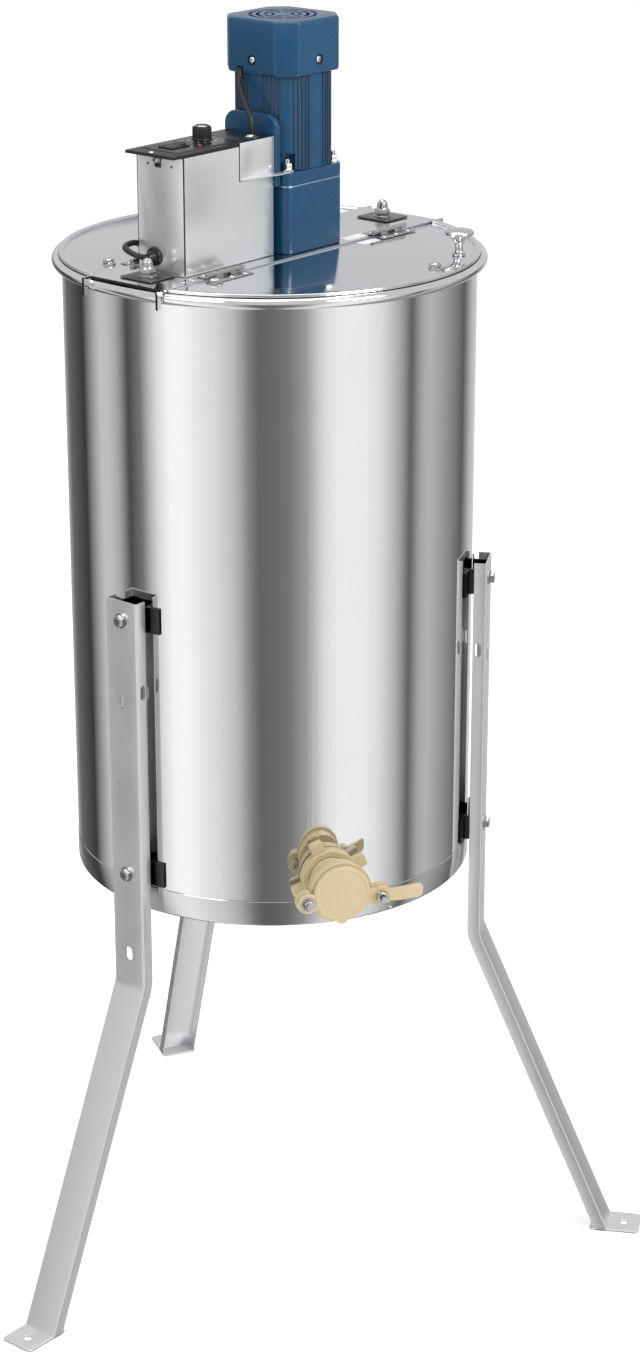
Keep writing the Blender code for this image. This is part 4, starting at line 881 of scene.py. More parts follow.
for sign in (1, -1):
    wing = softened([(sign * u, v) for u, v in ((0.0040, 0.0010), (0.0085, 0.0030), (0.0118, 0.0085),
                                                (0.0112, 0.0118), (0.0086, 0.0112), (0.0060, 0.0062),
                                                (0.0040, 0.0050))], 0.0014)
    wings.append(at(plate(wing, 0.0019, 0.0006), move(y=0.00095) @ STAND_Y))
wing_nut = at(together(hub, *wings), Matrix.Rotation(math.radians(35), 4, "X") @ Z_TO_X)
piece("gate_clamp_wing_nut", wing_nut, IN_GATE @ move(BASE + 0.0053, CLAMP_Y, EAR_Z), HARDWARE, "gate_wing_nut",
      ("gate_wing_nut",))

# %% [markdown]
# ## Basket
# The cage inside holds two frames upright. It shows only when a lid is lifted. Its
# screens are welded wire, so one wire is drawn each way and the copying tree sets
# them at the mesh's pitch.

# %% Hoops, spokes, guard rods and screens
TOP_SPIDER, BOTTOM_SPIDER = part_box("top_spider"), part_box("bottom_spider")
SIDE_X, REST_Y, GUARD_Y, SCREEN_Y = 0.142, 0.0735, 0.047, 0.100
GRID_LOW, GRID_HIGH = BOTTOM_SPIDER[0].z + 0.0063, TOP_SPIDER[0].z - 0.0003
for name, low, rests in (("top", TOP_SPIDER[0].z, False), ("bottom", BOTTOM_SPIDER[0].z, True)):
    hoop = [(0.1730 + x, low + 0.0030 + y) for x, y in rounded(0.0030, 0.0030, 0.0008, steps=3)]
    hub = [(0.0083, low), (0.0176, low), (0.0180, low + 0.0005), (0.0180, low + 0.0055),
           (0.0176, low + 0.0060), (0.0083, low + 0.0060)]
    parts = [turned(hoop, 128), turned(hub, 48)]
    for sign in (1, -1):
        ends = sorted((sign * 0.0170, sign * 0.1710))
        parts.append(block((ends[0], -0.004, low + 0.0005), (ends[1], 0.004, low + 0.0055), 0.0006))
        x = sign * SIDE_X
        parts.append(block((x - 0.004, -0.1045, low + 0.0003), (x + 0.004, 0.1045, low + 0.0057), 0.0006))
        if rests:
            y = sign * REST_Y
            parts.append(block((-0.1415, y - 0.003, low + 0.0008), (0.1415, y + 0.003, low + 0.0052), 0.0006))
            parts += [at(rod(0.003, low + 0.003, GRID_HIGH, 20), move(x, sign * GUARD_Y))
                      for x in (-SIDE_X, SIDE_X)]
    piece(f"{name}_spider_frame", together(*parts), IN_DRUM, BASKET_WIRE, "basket",
          (f"{name}_spider",))

COLUMNS, ROWS, WIRE = 13, 21, 0.0011
pitch = (GRID_HIGH - GRID_LOW - 0.006) / ROWS
upright_wire = rod(WIRE, GRID_LOW, GRID_HIGH, 10)
across_wire = at(rod(WIRE, -0.1440, 0.1440, 10), Z_TO_X)
for name, y in (("front", -SCREEN_Y), ("back", SCREEN_Y)):
    uprights = copied(upright_wire.copy(), [((-0.143 + 0.286 * k / COLUMNS, y + 0.0010, 0.0), (1, 0, 0))
                                            for k in range(COLUMNS + 1)], BASKET_WIRE)
    rows = copied(across_wire.copy(), [((0.0, y - 0.0008, GRID_LOW + 0.003 + pitch * k), (1, 0, 0))
                                       for k in range(ROWS + 1)], BASKET_WIRE)
    piece(f"{name}_wire_screen", together(uprights, rows), IN_DRUM, BASKET_WIRE, "basket",
          (f"{name}_screen",))

# %% Shaft, coupling and the bottom bearing
tip = 0.4386
piece("spindle", turned([(0.0, 0.9720), (0.0072, 0.9720), (0.0080, 0.9712), (0.0080, tip + 0.005), (0.003, tip),
                         (0.0, tip)], 48), IN_DRUM, TURNED, "basket", ("basket_shaft",))
coupling = turned([(0.0083, 0.9900), (0.0138, 0.9900), (0.0145, 0.9893), (0.0145, 0.9547), (0.0138, 0.9540),
                   (0.0083, 0.9540)], 48)
set_screws = [at(rod(0.002, 0.005, 0.02), move(z=z) @ Z_TO_X) for z in (0.963, 0.981)]
piece("spindle_coupling", carve(coupling, *set_screws), IN_DRUM, TURNED, "basket",
      ("shaft_coupling",))
cup = [(0.0, 0.4383), (0.0155, 0.4383), (0.0155, 0.4603), (0.0215, 0.4603), (0.0222, 0.4596), (0.0240, 0.4375),
       (0.0276, 0.4350), (0.0280, 0.4343), (0.0, 0.4343)]
piece("bearing_cup", turned(cup, 56), IN_DRUM, TURNED, stands_for=("bearing_seat",))
bush = [(0.0083, 0.4623), (0.0175, 0.4623), (0.0180, 0.4618), (0.0180, 0.4606), (0.0152, 0.4606), (0.0152, 0.4463),
        (0.0083, 0.4463)]
piece("bearing_sleeve", turned(bush, 48), IN_DRUM, WHITE_NYLON, stands_for=("bearing_bush",))

# %% [markdown]
# ## Bridge and lids
# The bridge stays as the solid model has it, a folded channel with hooks over the bead.
# Its acorn nuts stand on square washer plates. The lids are thin sheet with a rolled
# hem, and the hem's round back is what catches the bright line near the rim.

# %% Acorn nuts and washer plates
acorn = together(
    turned([(0.0, 0.0011), (0.0080, 0.0011), (0.0083, 0.0008), (0.0083, 0.0), (0.0, 0.0)], 40),
    hexagon(0.0130, 0.0062, 0.0008, 0.0011),
    turned([(0.0, 0.0163), (0.0016, 0.0160), (0.0032, 0.0152), (0.0044, 0.0138), (0.0050, 0.0120), (0.0052, 0.0092),
            (0.0056, 0.0078), (0.0061, 0.0071), (0.0, 0.0071)], 48))
ACORN_X = 0.168
for name, x in (("near", -ACORN_X), ("far", ACORN_X)):
    washer = plate(rounded(0.0165, 0.0190, 0.0012, (x, 0.0)), 0.0012, 0.0004, 0.0004)
    piece(f"{name}_washer_plate", washer, IN_BRIDGE, GEAR_STEEL)
    piece(f"{name}_acorn_nut", at(acorn.copy(), move(x, 0.0, 0.0016)), IN_BRIDGE, HARDWARE,
          stands_for=(f"bridge_bolt_{name}",))
bpy.data.meshes.remove(acorn)

# %% Painted shade under the bridge's ends and painted reflection on its hooks, as thin black strips
END_X, HOOK_X, HOOK_Y, EDGE = 0.1960, 0.2050, 0.0450, 0.0003
edges = []
for sign in (1, -1):
    low, high = sorted((sign * (END_X - EDGE), sign * (END_X + EDGE)))
    edges.append(block((low, 0.001 - HOOK_Y, -0.0025), (high, HOOK_Y - 0.001, -0.0002), 0.0001))
    low, high = sorted((sign * (HOOK_X - EDGE), sign * (HOOK_X + EDGE)))
    edges += [block((low, y - 0.0011, -0.0166), (high, y + 0.0011, -0.0005), 0.0001) for y in (-HOOK_Y, HOOK_Y)]
piece("bridge_edge_trim", together(*edges), IN_BRIDGE, PAINTED_SHADE_AND_REFLECTION)

# %% Lids
LID_TOP, LID_RADIUS, LID_EDGE_Y, HEM_WIDTH = -0.0015, 0.198, 0.0465, 0.0056
start = math.degrees(math.asin(LID_EDGE_Y / LID_RADIUS))
outer_arc = circle(LID_RADIUS, 90, (0.0, 0.0), 180.0 + start, 360.0 - start)
inner_arc = circle(LID_RADIUS - HEM_WIDTH, 90, (0.0, 0.0), 180.0 + start * 1.03, 360.0 - start * 1.03)
for name, turn in (("front", Matrix.Identity(4)), ("back", HALF_TURN)):
    sheet_part = plate(outer_arc, 0.0010, 0.0003, LID_TOP - 0.0010)
    hem = plate(outer_arc + inner_arc[::-1], 0.0024, 0.0010, LID_TOP - 0.0006)
    fold = block((-0.1910, -0.0478, LID_TOP - 0.0004), (0.1910, -0.0468, LID_TOP + 0.0006), 0.0003)
    piece(f"{name}_lid_sheet", together(sheet_part, hem, fold), IN_BRIDGE @ turn, LID_STEEL, f"{name}_lid",
          (f"{name}_lid",))

# %% Lid knobs
knob_profile = [(0.0, 0.0245), (0.0085, 0.0243), (0.0118, 0.0236), (0.0136, 0.0224), (0.0140, 0.0214),
                (0.0137, 0.0202), (0.0120, 0.0186), (0.0090, 0.0168), (0.0062, 0.0146), (0.0045, 0.0120),
                (0.0038, 0.0095), (0.0038, 0.0048), (0.0046, 0.0032), (0.0062, 0.0022), (0.0064, 0.0008),
                (0.0062, 0.0003), (0.0, 0.0003)]
PULL_X, PULL_Y = 0.089, 0.155
for name, y in (("front", -PULL_Y), ("back", PULL_Y)):
    piece(f"{name}_lid_pull", turned(knob_profile, 72), IN_BRIDGE @ move(PULL_X, y, LID_TOP), TURNED,
          f"{name}_lid", (f"{name}_lid_knob",))

# %% [markdown]
# The hinges are pressed steel butts. Each has five knuckles on one pin: two belong to the
# leaf on the lid and three to the leaf on the bridge. The knuckles and the screws repeat,
# so both come from the copying tree. The screws' slots point every way, as if driven by
# hand.

# %% Hinges
PIN_Y, PIN_Z, HINGE_X, KNUCKLE = 0.0463, 0.0030, (-0.1155, 0.1205), 0.0100
barrel = at(turned([(0.0013, 0.00485), (0.0021, 0.00485), (0.0024, 0.0046), (0.0024, -0.0046), (0.0021, -0.00485),
                    (0.0013, -0.00485)], 28), Z_TO_X)
screw = turned([(0.0, 0.0010), (0.0014, 0.0009), (0.0023, 0.0004), (0.0025, 0.0), (0.0, 0.0)], 28)
screw = carve(screw, block((-0.0017, -0.0003, 0.0004), (0.0017, 0.0003, 0.002), 0.0001),
              block((-0.0003, -0.0017, 0.0004), (0.0003, 0.0017, 0.002), 0.0001))


def half_hinges(sign, own, y_span, leaf_z, screw_y):
    """The leaves, knuckles and screws of one side of a pair of hinges, at y = sign * PIN_Y."""
    leaves, screws = [], []
    for x in HINGE_X:
        low, high = sorted((sign * (PIN_Y + y_span[0]), sign * (PIN_Y + y_span[1])))
        leaves.append(block((x - 0.0247, low, leaf_z), (x + 0.0247, high, leaf_z + 0.0009), 0.0003))
        spots = [((x + KNUCKLE * (k - 2), sign * PIN_Y, PIN_Z), (1, 0, 0)) for k in own]
        leaves.append(copied(barrel.copy(), spots, HINGE_STEEL))
        for k in own:
            near_pin = math.copysign(0.0012, y_span[0])
            inner = sorted((sign * (PIN_Y + near_pin), sign * (PIN_Y + y_span[0])))
            middle = x + KNUCKLE * (k - 2)
            leaves.append(block((middle - 0.0046, inner[0], leaf_z), (middle + 0.0046, inner[1], PIN_Z - 0.0008),
                                0.0002))
        for dx in (-0.0180, 0.0, 0.0180):
            slot_turn = x * 90 + dx * 300
            screws.append(((x + dx, sign * (PIN_Y + screw_y), leaf_z + 0.0009),
                           (math.cos(slot_turn), math.sin(slot_turn), 0)))
    return leaves, screws


fixed_parts, fixed_screws = [], []
for name, sign in (("front", -1), ("back", 1)):
    leaves, screws = half_hinges(sign, (1, 3), (0.0031, 0.0135), LID_TOP + 0.0003, 0.0085)
    piece(f"{name}_lid_leaves", together(*leaves), IN_BRIDGE, HINGE_STEEL, f"{name}_lid",
          (f"{name}_near_hinge_leaf", f"{name}_far_hinge_leaf"))
    repeated(f"{name}_lid_leaf_screws", screw.copy(), screws, IN_BRIDGE, HARDWARE, f"{name}_lid")
    leaves, screws = half_hinges(sign, (0, 2, 4), (-0.0031, -0.0125), 0.0003, -0.0080)
    fixed_parts += leaves
    fixed_screws += screws
    fixed_parts += [at(rod(0.0010, -0.0258, 0.0258, 16), move(x, sign * PIN_Y, PIN_Z) @ Z_TO_X) for x in HINGE_X]
piece("bridge_hinge_leaves", together(*fixed_parts), IN_BRIDGE, HINGE_STEEL,
      stands_for=("front_near_hinge_base", "front_far_hinge_base", "back_near_hinge_base", "back_far_hinge_base"))
fixed_screws += [((x, -0.0375, 0.0), (math.cos(x * 70), math.sin(x * 70), 0)) for x in (-0.1620, -0.1500)]
repeated("bridge_screws", screw.copy(), fixed_screws, IN_BRIDGE, HARDWARE)
lid_bolt = hex_bolt(0.0100, 0.0040, 0.0066)
for name, spots in (("front", [(0.033, -0.171), (-0.143, -0.060)]), ("back", [(-0.146, 0.069)])):
    headed_spots = [((x, y, LID_TOP), (math.cos(x * 60), math.sin(x * 60), 0)) for x, y in spots]
    repeated(f"{name}_lid_bolts", lid_bolt.copy(), headed_spots, IN_BRIDGE, HARDWARE, f"{name}_lid")
piece("bridge_label", plate(rounded(0.0150, 0.0058, 0.0010), 0.00025, 0.0001),
      IN_BRIDGE @ move(0.081, -0.035, 0.00005), LABEL)
piece("front_lid_label", plate(rounded(0.0130, 0.0050, 0.0010), 0.00025, 0.0001),
      IN_BRIDGE @ move(0.080, -0.0545, LID_TOP + 0.00005), LABEL, "front_lid")
print("lids and hinges:", sum(made_pieces.values()), "faces so far")

# %% [markdown]
# ## Gear case and motor
# The cast case carries the motor on a cover with a bright joint face. The motor is square
# with broad round corners, and short ribs flank each corner. One rib is drawn and the
# copying tree sets all forty, each turned to face out of the corner's curve.

# %% Gear case, cover and joint
BOLT_X = 0.0325
CORNERS = [(sx * BOLT_X, sy * BOLT_X) for sx in (1, -1) for sy in (1, -1)]
COVER_TOP, MOTOR_TOP = 0.0760, 0.166
case_outline = rounded(0.040, 0.040, 0.008, steps=10)
piece("gear_case_casting", plate(case_outline, 0.0623, 0.0010, 0.0003), IN_DRIVE, ENAMEL,
      stands_for=("gearbox_case",))
piece("gear_case_joint", plate(rounded(0.0402, 0.0402, 0.0082, steps=10), 0.0012, 0.0003, 0.0626), IN_DRIVE, SEAM)
piece("gear_case_lid", plate(case_outline, COVER_TOP - 0.0638, 0.0012, 0.0638), IN_DRIVE, ENAMEL,
      stands_for=("gearbox_cover",))

# %% Motor body with its ribs
reliefs = [at(rod(0.0076, 0.05, 0.0925, 40), move(x, y)) for x, y in CORNERS]
motor = plate(rounded(0.040, 0.040, 0.030, steps=24), MOTOR_TOP - COVER_TOP - 0.0003, 0.0006, COVER_TOP + 0.0003)
motor = carve(motor, *[mesh.copy() for mesh in reliefs])
piece("motor_body", motor, IN_DRIVE, ENAMEL, stands_for=("motor_case",))
rib = block((-0.0014, -0.00115, COVER_TOP + 0.0006), (0.0009, 0.00115, 0.1628), 0.0007, 3)
rib_spots = []
for quarter in range(4):
    middle = math.radians(45 + 90 * quarter)
    centre = Vector((math.copysign(0.010, math.cos(middle)), math.copysign(0.010, math.sin(middle)), 0.0))
    for degrees in (-45, -37, -29, -21, -13, 13, 21, 29, 37, 45):
        a = middle + math.radians(degrees)
        out = Vector((math.cos(a), math.sin(a), 0.0))
        rib_spots.append((tuple(centre + out * 0.030), tuple(out)))
# The ribs take the darker enamel, which is painted shade between them.
ribs = carve(copied(rib, rib_spots, RIB_ENAMEL_PAINTED_SHADE), *reliefs)
piece("motor_ribs", ribs, IN_DRIVE, RIB_ENAMEL_PAINTED_SHADE)
print(len(rib_spots), "ribs")

# %% [markdown]
# The corner bolts are chromed, with a washer, a nut and a short end of thread. The two
# on the control box's side stand higher, since the front one holds the box's tongue.

# %% Corner bolts
TONGUE_ROOM = 0.0017
corner_bolt = together(
    turned([(0.0, 0.0012), (0.0060, 0.0012), (0.0063, 0.0009), (0.0063, 0.0), (0.0, 0.0)], 40),
    hexagon(0.0088, 0.0052, 0.0007, 0.0012),
    turned([(0.0, 0.0104), (0.0022, 0.0104), (0.0028, 0.0098), (0.0028, 0.0050), (0.0, 0.0050)], 28))
repeated("gear_case_bolts", corner_bolt,
         [((x, y, COVER_TOP + TONGUE_ROOM * (x < 0)), (1.0, 0.4 * y / BOLT_X, 0.0)) for x, y in CORNERS],
         IN_DRIVE, CHROME)

# %% [markdown]
# The fan cover is a deep cap with cut corners. Its grille is four rings of slots, with
# the webs of each ring turned against the next, and the fan shows dark below them.

# %% Fan cover


def cut_square(half, cut, radius):
    """A square's outline with its corners cut straight and then softened."""
    flat = half - cut
    return softened([(half, -flat), (half, flat), (flat, half), (-flat, half),
                     (-half, flat), (-half, -flat), (-flat, -half), (flat, -half)], radius, 5)


COVER_LOW, COVER_HIGH, HALF = 0.163, 0.213, 0.044
fan_cap = plate(cut_square(HALF, 0.016, 0.0022), COVER_HIGH - COVER_LOW, 0.0030, COVER_LOW)
hollow = plate(cut_square(HALF - 0.0018, 0.0153, 0.0012), COVER_HIGH - COVER_LOW, 0.0001, COVER_LOW - 0.0021)
slots = []
for ring, radius in enumerate((0.0095, 0.0165, 0.0235, 0.0305)):
    share = math.degrees(0.0030 / radius) / 2
    for k in range(4):
        a = 90 * k + 45 * ring
        outer = circle(radius + 0.0016, 18, (0, 0), a + share, a + 90 - share)
        inner = circle(radius - 0.0016, 18, (0, 0), a + share, a + 90 - share)
        slots.append(plate(outer + inner[::-1], 0.02, 0.0001, COVER_HIGH - 0.010))
SCREW_Z = COVER_LOW + 0.0130
recesses = [at(rod(0.0050, -0.0014, 0.01, 36), heading(90 * quarter) @ move(HALF, 0, SCREW_Z) @ Z_TO_X)
            for quarter in range(4)]
notch = block((-HALF - 0.005, 0.0105, COVER_LOW - 0.005), (-HALF + 0.004, 0.0175, 0.1695), 0.0008)
fan_cap = carve(fan_cap, hollow, notch, *slots, *recesses)
piece("fan_cap", fan_cap, IN_DRIVE, ENAMEL, stands_for=("fan_cover",))
# Painted shade: a thin black disc at the bottom of each screw recess in the fan cap.
painted_recess_shade = at(turned([(0.0, 0.0001), (0.0047, 0.0001), (0.0047, 0.0), (0.0, 0.0)], 36), Z_TO_X)
repeated("fan_cap_screw_wells", painted_recess_shade, [around(90 * k, HALF - 0.0014, SCREW_Z) for k in range(4)], IN_DRIVE,
         PAINTED_SHADE_AND_REFLECTION)
cap_screw = turned([(0.0, 0.0017), (0.0017, 0.0016), (0.0030, 0.0008), (0.0033, 0.0), (0.0, 0.0)], 32)
cap_screw = at(carve(cap_screw, hexagon(0.0020, 0.0030, 0.0001, 0.0007)), Z_TO_X)
repeated("fan_cap_screws", cap_screw, [around(90 * k, HALF - 0.0013, SCREW_Z) for k in range(4)], IN_DRIVE,
         CHROME)

# %% Terminal plate between the box and the motor
outline = [(-0.0315, 0.0640), (0.0315, 0.0640), *circle(0.0130, 16, (0.0185, 0.1160), 0, 90),
           *circle(0.0130, 16, (-0.0185, 0.1160), 90, 180)]
terminal = at(plate(outline, 0.0062, 0.0010), move(-0.0267) @ STAND_X)
flutes = [at(rod(0.0007, 0.05, 0.1120, 16), move(x, y))
          for x in (-0.0252, -0.0236, -0.0220) for y in (-0.0316, 0.0316)]
piece("terminal_backplate", carve(terminal, *flutes), IN_BRIDGE, ENAMEL,
      stands_for=("terminal_plate",))

# %% [markdown]
# ## Control box
# The box is bright folded steel. The side panels over its inner half stand slightly
# proud, and the tongue folded from the front one's lower edge goes under a gear case
# bolt. The black top plate overhangs the outer end, and carries the rocker, the knob and
# its scale.

# %% Folded case, side panels and tongue
BOX_NEAR, BOX_FAR, BOX_Y, SPLIT, SKIRT = -0.149, -0.027, 0.0285, -0.0745, 0.0764
case = carve(block((BOX_NEAR, -BOX_Y, 0.0003), (BOX_FAR, BOX_Y, 0.1077), 0.0009, 3),
             block((BOX_NEAR + 0.0012, -BOX_Y + 0.0012, 0.0015), (BOX_FAR - 0.0012, BOX_Y - 0.0012, 0.2), 0.0002),
             at(rod(0.0062, -0.01, 0.01, 40), move(BOX_NEAR, 0.008, 0.015) @ Z_TO_X))
piece("control_case", case, IN_BRIDGE, BOX_STEEL, stands_for=("control_box",))
panels = []
for sign in (1, -1):
    low, high = sorted((sign * (BOX_Y + 0.0008), sign * (BOX_Y + 0.0001)))
    panels.append(block((SPLIT + 0.0006, low, SKIRT), (BOX_FAR, high, 0.1107), 0.0002))
tongue = carve(plate([(SPLIT + 0.0008, -0.0283), (SPLIT + 0.0008, -0.0291), (-0.0300, -0.0398), (-0.0125, -0.0391),
                      (-0.0125, -0.0322), (-0.0278, -0.0322), (-0.0278, -0.0283)], 0.0010, 0.0002, SKIRT),
               plate(circle(0.0066, 40, (-0.0125, -0.0325)), 0.0010, 0.0002, SKIRT), operation="UNION")
piece("control_side_panels", together(*panels, tongue), IN_BRIDGE, BOX_STEEL)
# Painted shade: thin black strips along the near end's two upright corners, down the side panels' split and under
# their lower edge, where the gaps fall in shade.
gaps = [block((BOX_NEAR - 0.00004, -BOX_Y - 0.00004, 0.0010), (BOX_NEAR + 0.0012, -BOX_Y + 0.0012, 0.1076), 0.0003),
        block((BOX_NEAR - 0.00004, BOX_Y - 0.0012, 0.0010), (BOX_NEAR + 0.0012, BOX_Y + 0.00004, 0.1076), 0.0003)]
for sign in (1, -1):
    low, high = sorted((sign * (BOX_Y + 0.00015), sign * (BOX_Y - 0.0004)))
    gaps.append(block((SPLIT - 0.0002, low, SKIRT - 0.0006), (SPLIT + 0.0006, high, 0.1078), 0.0001))
    gaps.append(block((SPLIT, low, SKIRT - 0.0008), (BOX_FAR - 0.0010, high, SKIRT), 0.0001))
piece("control_case_gaps", together(*gaps), IN_BRIDGE, PAINTED_SHADE_AND_REFLECTION)
dimple = at(turned([(0.0, 0.0003), (0.0010, 0.00025), (0.0014, 0.0), (0.0, 0.0)], 24), Z_TO_X)
repeated("control_case_dimples", dimple, [((BOX_NEAR, y, 0.0985), (-1, 0, 0)) for y in (0.0148, -0.0140)],
         IN_BRIDGE, GEAR_STEEL)

# %% Top plate and its film
KNOB_AT, SWITCH_AT, FILM_AT, PLATE_TOP = (-0.086, 0.006), (-0.127, 0.003), (-0.1075, 0.0015), 0.111
window = rounded(0.0098, 0.0068, 0.0008, SWITCH_AT)
top_plate = carve(together(block((-0.163, -0.0295, 0.108), (SPLIT, 0.0295, PLATE_TOP), 0.0007, 3),
                           block((SPLIT - 0.001, -0.0284, 0.108), (BOX_FAR, 0.0284, PLATE_TOP - 0.0002), 0.0004)),
                  plate(window, 0.03, 0.0001, 0.10), at(rod(0.0034, 0.09, 0.13, 32), move(*KNOB_AT)),
                  at(rod(0.0042, 0.09, 0.13, 32), move(*GLAND_AT)))
piece("control_top_plate", top_plate, IN_BRIDGE, POWDER, stands_for=("box_top_plate",))
film_holes = [rounded(0.0100, 0.0070, 0.0010, SWITCH_AT), circle(0.0036, 28, KNOB_AT)]
film_outline = rounded(0.0400, 0.0225, 0.0025, FILM_AT)
piece("control_film", plate(film_outline, 0.0007, 0.0002, PLATE_TOP, holes=film_holes), IN_BRIDGE, PANEL)
border = plate(rounded(0.0408, 0.0233, 0.0030, FILM_AT), 0.0005, 0.0002, PLATE_TOP, holes=[film_outline])
piece("control_film_border", border, IN_BRIDGE, GEAR_STEEL)
repeated("control_plate_screws", screw,
         [((-0.1575, 0.0023, PLATE_TOP), (1, 0, 0)), ((-0.0600, 0.0200, PLATE_TOP), (0, 1, 0))],
         IN_BRIDGE, CHROME)
clip = together(block((BOX_NEAR - 0.0012, -0.0010, 0.0965), (BOX_NEAR + 0.0001, 0.0056, 0.1079), 0.0004),
                at(rod(0.0011, 0.0, 0.0040, 20), move(BOX_NEAR - 0.0040, 0.0023, 0.0990) @ Z_TO_X))
piece("control_clip", clip, IN_BRIDGE, ABS)
clip_screw = at(hex_bolt(0.0050, 0.0030, 0.0036), HALF_TURN @ Z_TO_X)
piece("control_clip_screw", clip_screw, IN_BRIDGE @ move(BOX_NEAR - 0.0012, 0.0023, 0.1035), CHROME)

# %% Rocker, lamp and cable ring
rocker = softened([(-0.0090, 0.0022), (0.0, 0.0029), (0.0090, 0.0048), (0.0090, -0.0030), (0.0045, -0.0078),
                   (-0.0045, -0.0078), (-0.0090, -0.0030)], 0.0005)
piece("rocker_key", at(plate(rocker, 0.0122, 0.0005), move(y=0.0061) @ STAND_Y),
      IN_BRIDGE @ move(*SWITCH_AT, PLATE_TOP - 0.0010), ABS, "power_switch", ("power_switch",))
piece("rocker_frame", plate(rounded(0.0122, 0.0090, 0.0016, SWITCH_AT), 0.0012, 0.0004, PLATE_TOP + 0.0006,
                            holes=[rounded(0.0098, 0.0068, 0.0008, SWITCH_AT)]),
      IN_BRIDGE, ABS)
piece("pilot_lamp", turned([(0.0, 0.0016), (0.0010, 0.0014), (0.0017, 0.0008), (0.0019, 0.0), (0.0, 0.0)], 32),
      IN_BRIDGE @ move(-0.1090, -0.0120, PLATE_TOP + 0.0006), LENS)
piece("motor_cable_ring", turned([(0.0029, 0.0022), (0.0036, 0.0022), (0.0052, 0.0008), (0.0068, 0.0004),
                                  (0.0068, 0.0), (0.0029, 0.0)], 48), IN_BRIDGE @ move(*GLAND_AT, PLATE_TOP),
      CHROME)

# %% Knob and scale
KNOB_Z, KNOB_START = PLATE_TOP + 0.0009, 45
KNOB_PLACE = IN_BRIDGE @ move(*KNOB_AT, KNOB_Z)
core = turned([(0.0, 0.0128), (0.0066, 0.0128), (0.0076, 0.0122), (0.0080, 0.0112), (0.0083, 0.0020),
               (0.0090, 0.0014), (0.0092, 0.0008), (0.0092, 0.0), (0.0030, 0.0), (0.0030, -0.0135),
               (0.0, -0.0135)], 64)
flute = turned([(0.0, 0.0118), (0.0005, 0.0117), (0.00085, 0.0110), (0.00095, 0.0014), (0.0, 0.0014)], 12)
flutes = copied(flute, [around(360 * k / 22, 0.0079, 0.0) for k in range(22)], ABS)
piece("knob_grip", together(core, flutes), KNOB_PLACE, ABS, "speed_knob", ("speed_knob",))
piece("knob_ring", turned([(0.0058, 0.0131), (0.0064, 0.0132), (0.0068, 0.0129), (0.0068, 0.0126),
                           (0.0058, 0.0126)], 64), KNOB_PLACE, CHROME, "speed_knob")
piece("knob_pointer", block((-0.0053, -0.0004, 0.0127), (-0.0014, 0.0004, 0.0130), 0.0001),
      KNOB_PLACE @ heading(KNOB_START), INK, "speed_knob")
tick = block((-0.0014, -0.0003, 0.0), (0.0014, 0.0003, 0.00008), 0.00003)
repeated("knob_scale", tick, [around(KNOB_START + 27 * k, 0.0128, 0.0) for k in range(11)],
         IN_BRIDGE @ move(*KNOB_AT, PLATE_TOP + 0.0007), INK)
print("drive and controls:", sum(made_pieces.values()), "faces so far")

# %% [markdown]
# ## Pieces carried over from the solid model
# The bridge, the gears, the rotor, the fan, the controller and the leg brackets keep the
# solid model's shapes, since most of them sit inside. Each gets a finish; the brackets' near-black tone is painted
# shade.

# %% Finishes for what is carried over
carried = {"bridge": LID_STEEL, "output_gear": GEAR_STEEL, "drive_pinion": GEAR_STEEL, "output_shaft": TURNED,
           "motor_rotor": GEAR_STEEL, "cooling_fan": ABS, "speed_controller": BOARD}
plain = []
for name, node in frame["nodes"].items():
    if node.hide_render:
        continue
    look = carried.get(name, BRACKET_PAINTED_SHADE)
    if name not in carried:
        plain.append(name)
    for material_slot in node.material_slots:
        material_slot.material = look
print("bracket steel:", plain)

# %% [markdown]
# ## Room and light
# Polished steel shows what stands round it. The drum's bands are reflections of tall
# softboxes and of the dark gaps between them, all round the room below eye level. A
# colour ramp over the compass direction draws them. Above eye level the light is even.

# %% World with a ring of softboxes
VIEW_AZIMUTH = 250.0
BANDS = [(-180, .60), (-152, .13), (-126, .04), (-117, .30), (-108, .55), (-101, .52), (-94, .40), (-85, .06),
         (-76, .18), (-65, .72), (-57, .95), (-49, .97), (-39, .82), (-30, .71), (-20, .53), (-11, .22), (-6, .13),
         (2, .14), (11, .19), (20, .33), (30, .72), (39, .87), (54, .87), (65, .72), (76, .42), (85, .11),
         (94, .40), (101, .46), (117, .29), (137, .10), (152, .45), (170, .60)]
SKY, ROOM_STRENGTH = (0.56, 0.56, 0.57, 1.0), 1.15
scene = bpy.context.scene
scene.view_settings.view_transform = "Standard"
world = bpy.data.worlds.new("studio_room")
scene.world = world
world.use_nodes = True
tree = world.node_tree
tree.nodes.clear()
ray = add(tree, "ShaderNodeTexCoord")
split = add(tree, "ShaderNodeSeparateXYZ", links={"Vector": ray.outputs["Generated"]})
compass = add(tree, "ShaderNodeMath", {"operation": "ARCTAN2"}, {0: split.outputs["Y"], 1: split.outputs["X"]})
turned_to = add(tree, "ShaderNodeMath", {"operation": "SUBTRACT"},
                {0: compass.outputs[0], 1: math.radians(VIEW_AZIMUTH)})
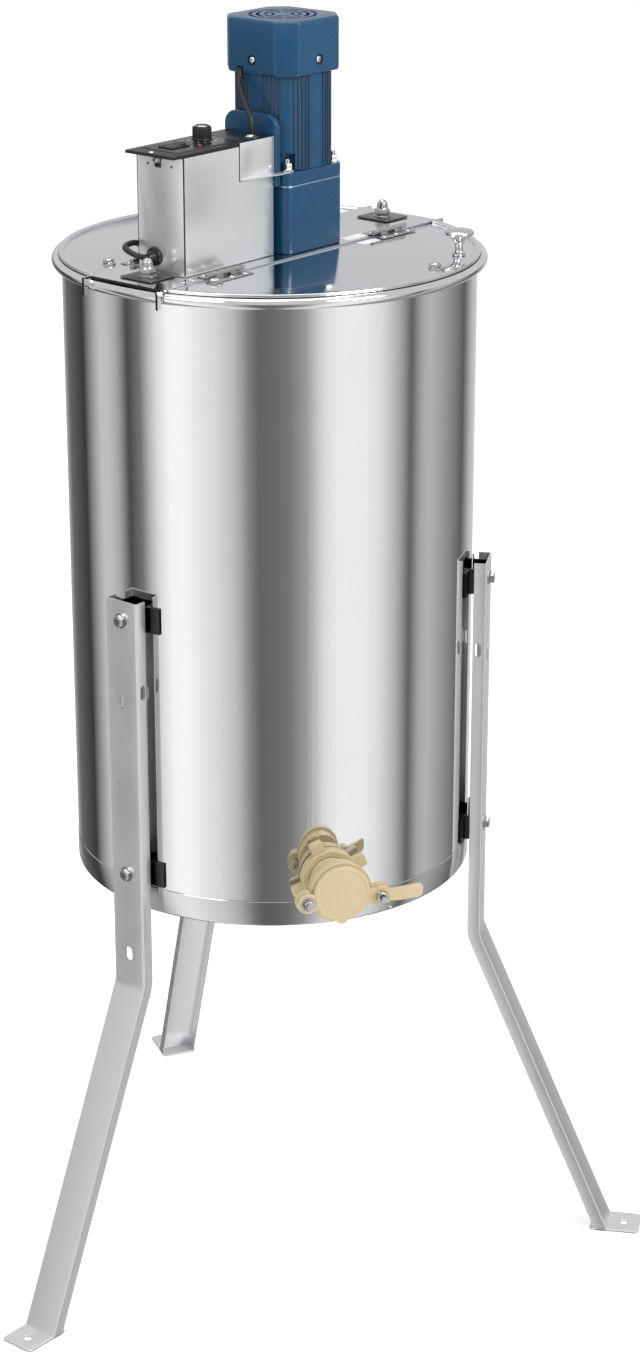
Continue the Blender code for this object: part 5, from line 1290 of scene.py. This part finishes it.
# half a turn puts the stop at -180 degrees first, and two whole turns keep the sum positive
turns = add(tree, "ShaderNodeMath", {"operation": "MULTIPLY_ADD"},
            {0: turned_to.outputs[0], 1: 1 / math.tau, 2: 2.5})
share = add(tree, "ShaderNodeMath", {"operation": "FRACT"}, {0: turns.outputs[0]})
ramp = add(tree, "ShaderNodeValToRGB", links={"Fac": share.outputs[0]})
stops = ramp.color_ramp.elements
stops.remove(stops[1])
stops[0].position = 0.0
for degrees, level in BANDS[1:]:
    stops.new((degrees + 180.0) / 360.0)
for stop, (degrees, level) in zip(stops, BANDS):
    stop.color = (level, level, level, 1.0)
height = add(tree, "ShaderNodeMapRange", {"clamp": True}, {"Value": split.outputs["Z"], "From Min": -0.02,
                                                          "From Max": 0.10, "To Min": 0.0, "To Max": 1.0})
even = add(tree, "ShaderNodeMix", {"data_type": "RGBA"},
           {0: height.outputs[0], 6: ramp.outputs["Color"], 7: SKY})
room = add(tree, "ShaderNodeBackground", links={"Color": even.outputs[2], "Strength": ROOM_STRENGTH})
white = add(tree, "ShaderNodeBackground", links={"Color": (1.0, 1.0, 1.0, 1.0), "Strength": 1.0})
path = add(tree, "ShaderNodeLightPath")
either = add(tree, "ShaderNodeMixShader",
             links={0: path.outputs["Is Camera Ray"], 1: room.outputs[0], 2: white.outputs[0]})
add(tree, "ShaderNodeOutputWorld", links={"Surface": either.outputs[0]})
print(len(stops), "stops in the ring")

# %% [markdown]
# The floor is plain and pale. Mirror-like pieces don't see it, so that the softboxes
# reach them from below eye level too. Area lights high up shape the painted parts.

# %% Floor and lamps
bpy.ops.mesh.primitive_plane_add(size=30.0, location=(0.0, 0.0, -0.0002))
floor = bpy.context.object
floor.name = "studio_floor"
floor.visible_glossy = False
glow = {"Emission Color": (1.0, 1.0, 1.0, 1.0), "Emission Strength": 0.42}
floor.data.materials.append(finish("matt_white_floor", "#f8f8f8", "#fdfdfd", (0.85, 0.95), 0.2, 0.001, 0.0,
                                   sockets=glow))
floor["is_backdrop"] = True


def softbox(name, azimuth, elevation, distance, size, watts):
    """An area light aimed at the machine's middle; azimuth runs anticlockwise from +X."""
    a, e = math.radians(azimuth), math.radians(elevation)
    data = bpy.data.lights.new(name, "AREA")
    data.shape, data.size, data.energy = "DISK", size, watts
    lamp = bpy.data.objects.new(name, data)
    scene.collection.objects.link(lamp)
    aim = Vector((0.0, AXIS_Y, 0.75))
    lamp.location = aim + Vector((math.cos(a) * math.cos(e), math.sin(a) * math.cos(e), math.sin(e))) * distance
    lamp.rotation_euler = (aim - lamp.location).to_track_quat("-Z", "Y").to_euler()
    lamp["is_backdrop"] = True
    return lamp


softbox("key_front_right", 300, 38, 3.4, 1.6, 62)
softbox("fill_front_left", 205, 42, 3.6, 1.8, 22)
softbox("top", 90, 80, 3.2, 2.4, 30)

# %% Compare the finished size with the solid model's
new_size = [list(corner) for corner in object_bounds()]
gaps = [abs(a - b) * 1000 for old, new in zip(cad_size, new_size) for a, b in zip(old, new)]
print("largest difference", round(max(gaps), 2), "mm")
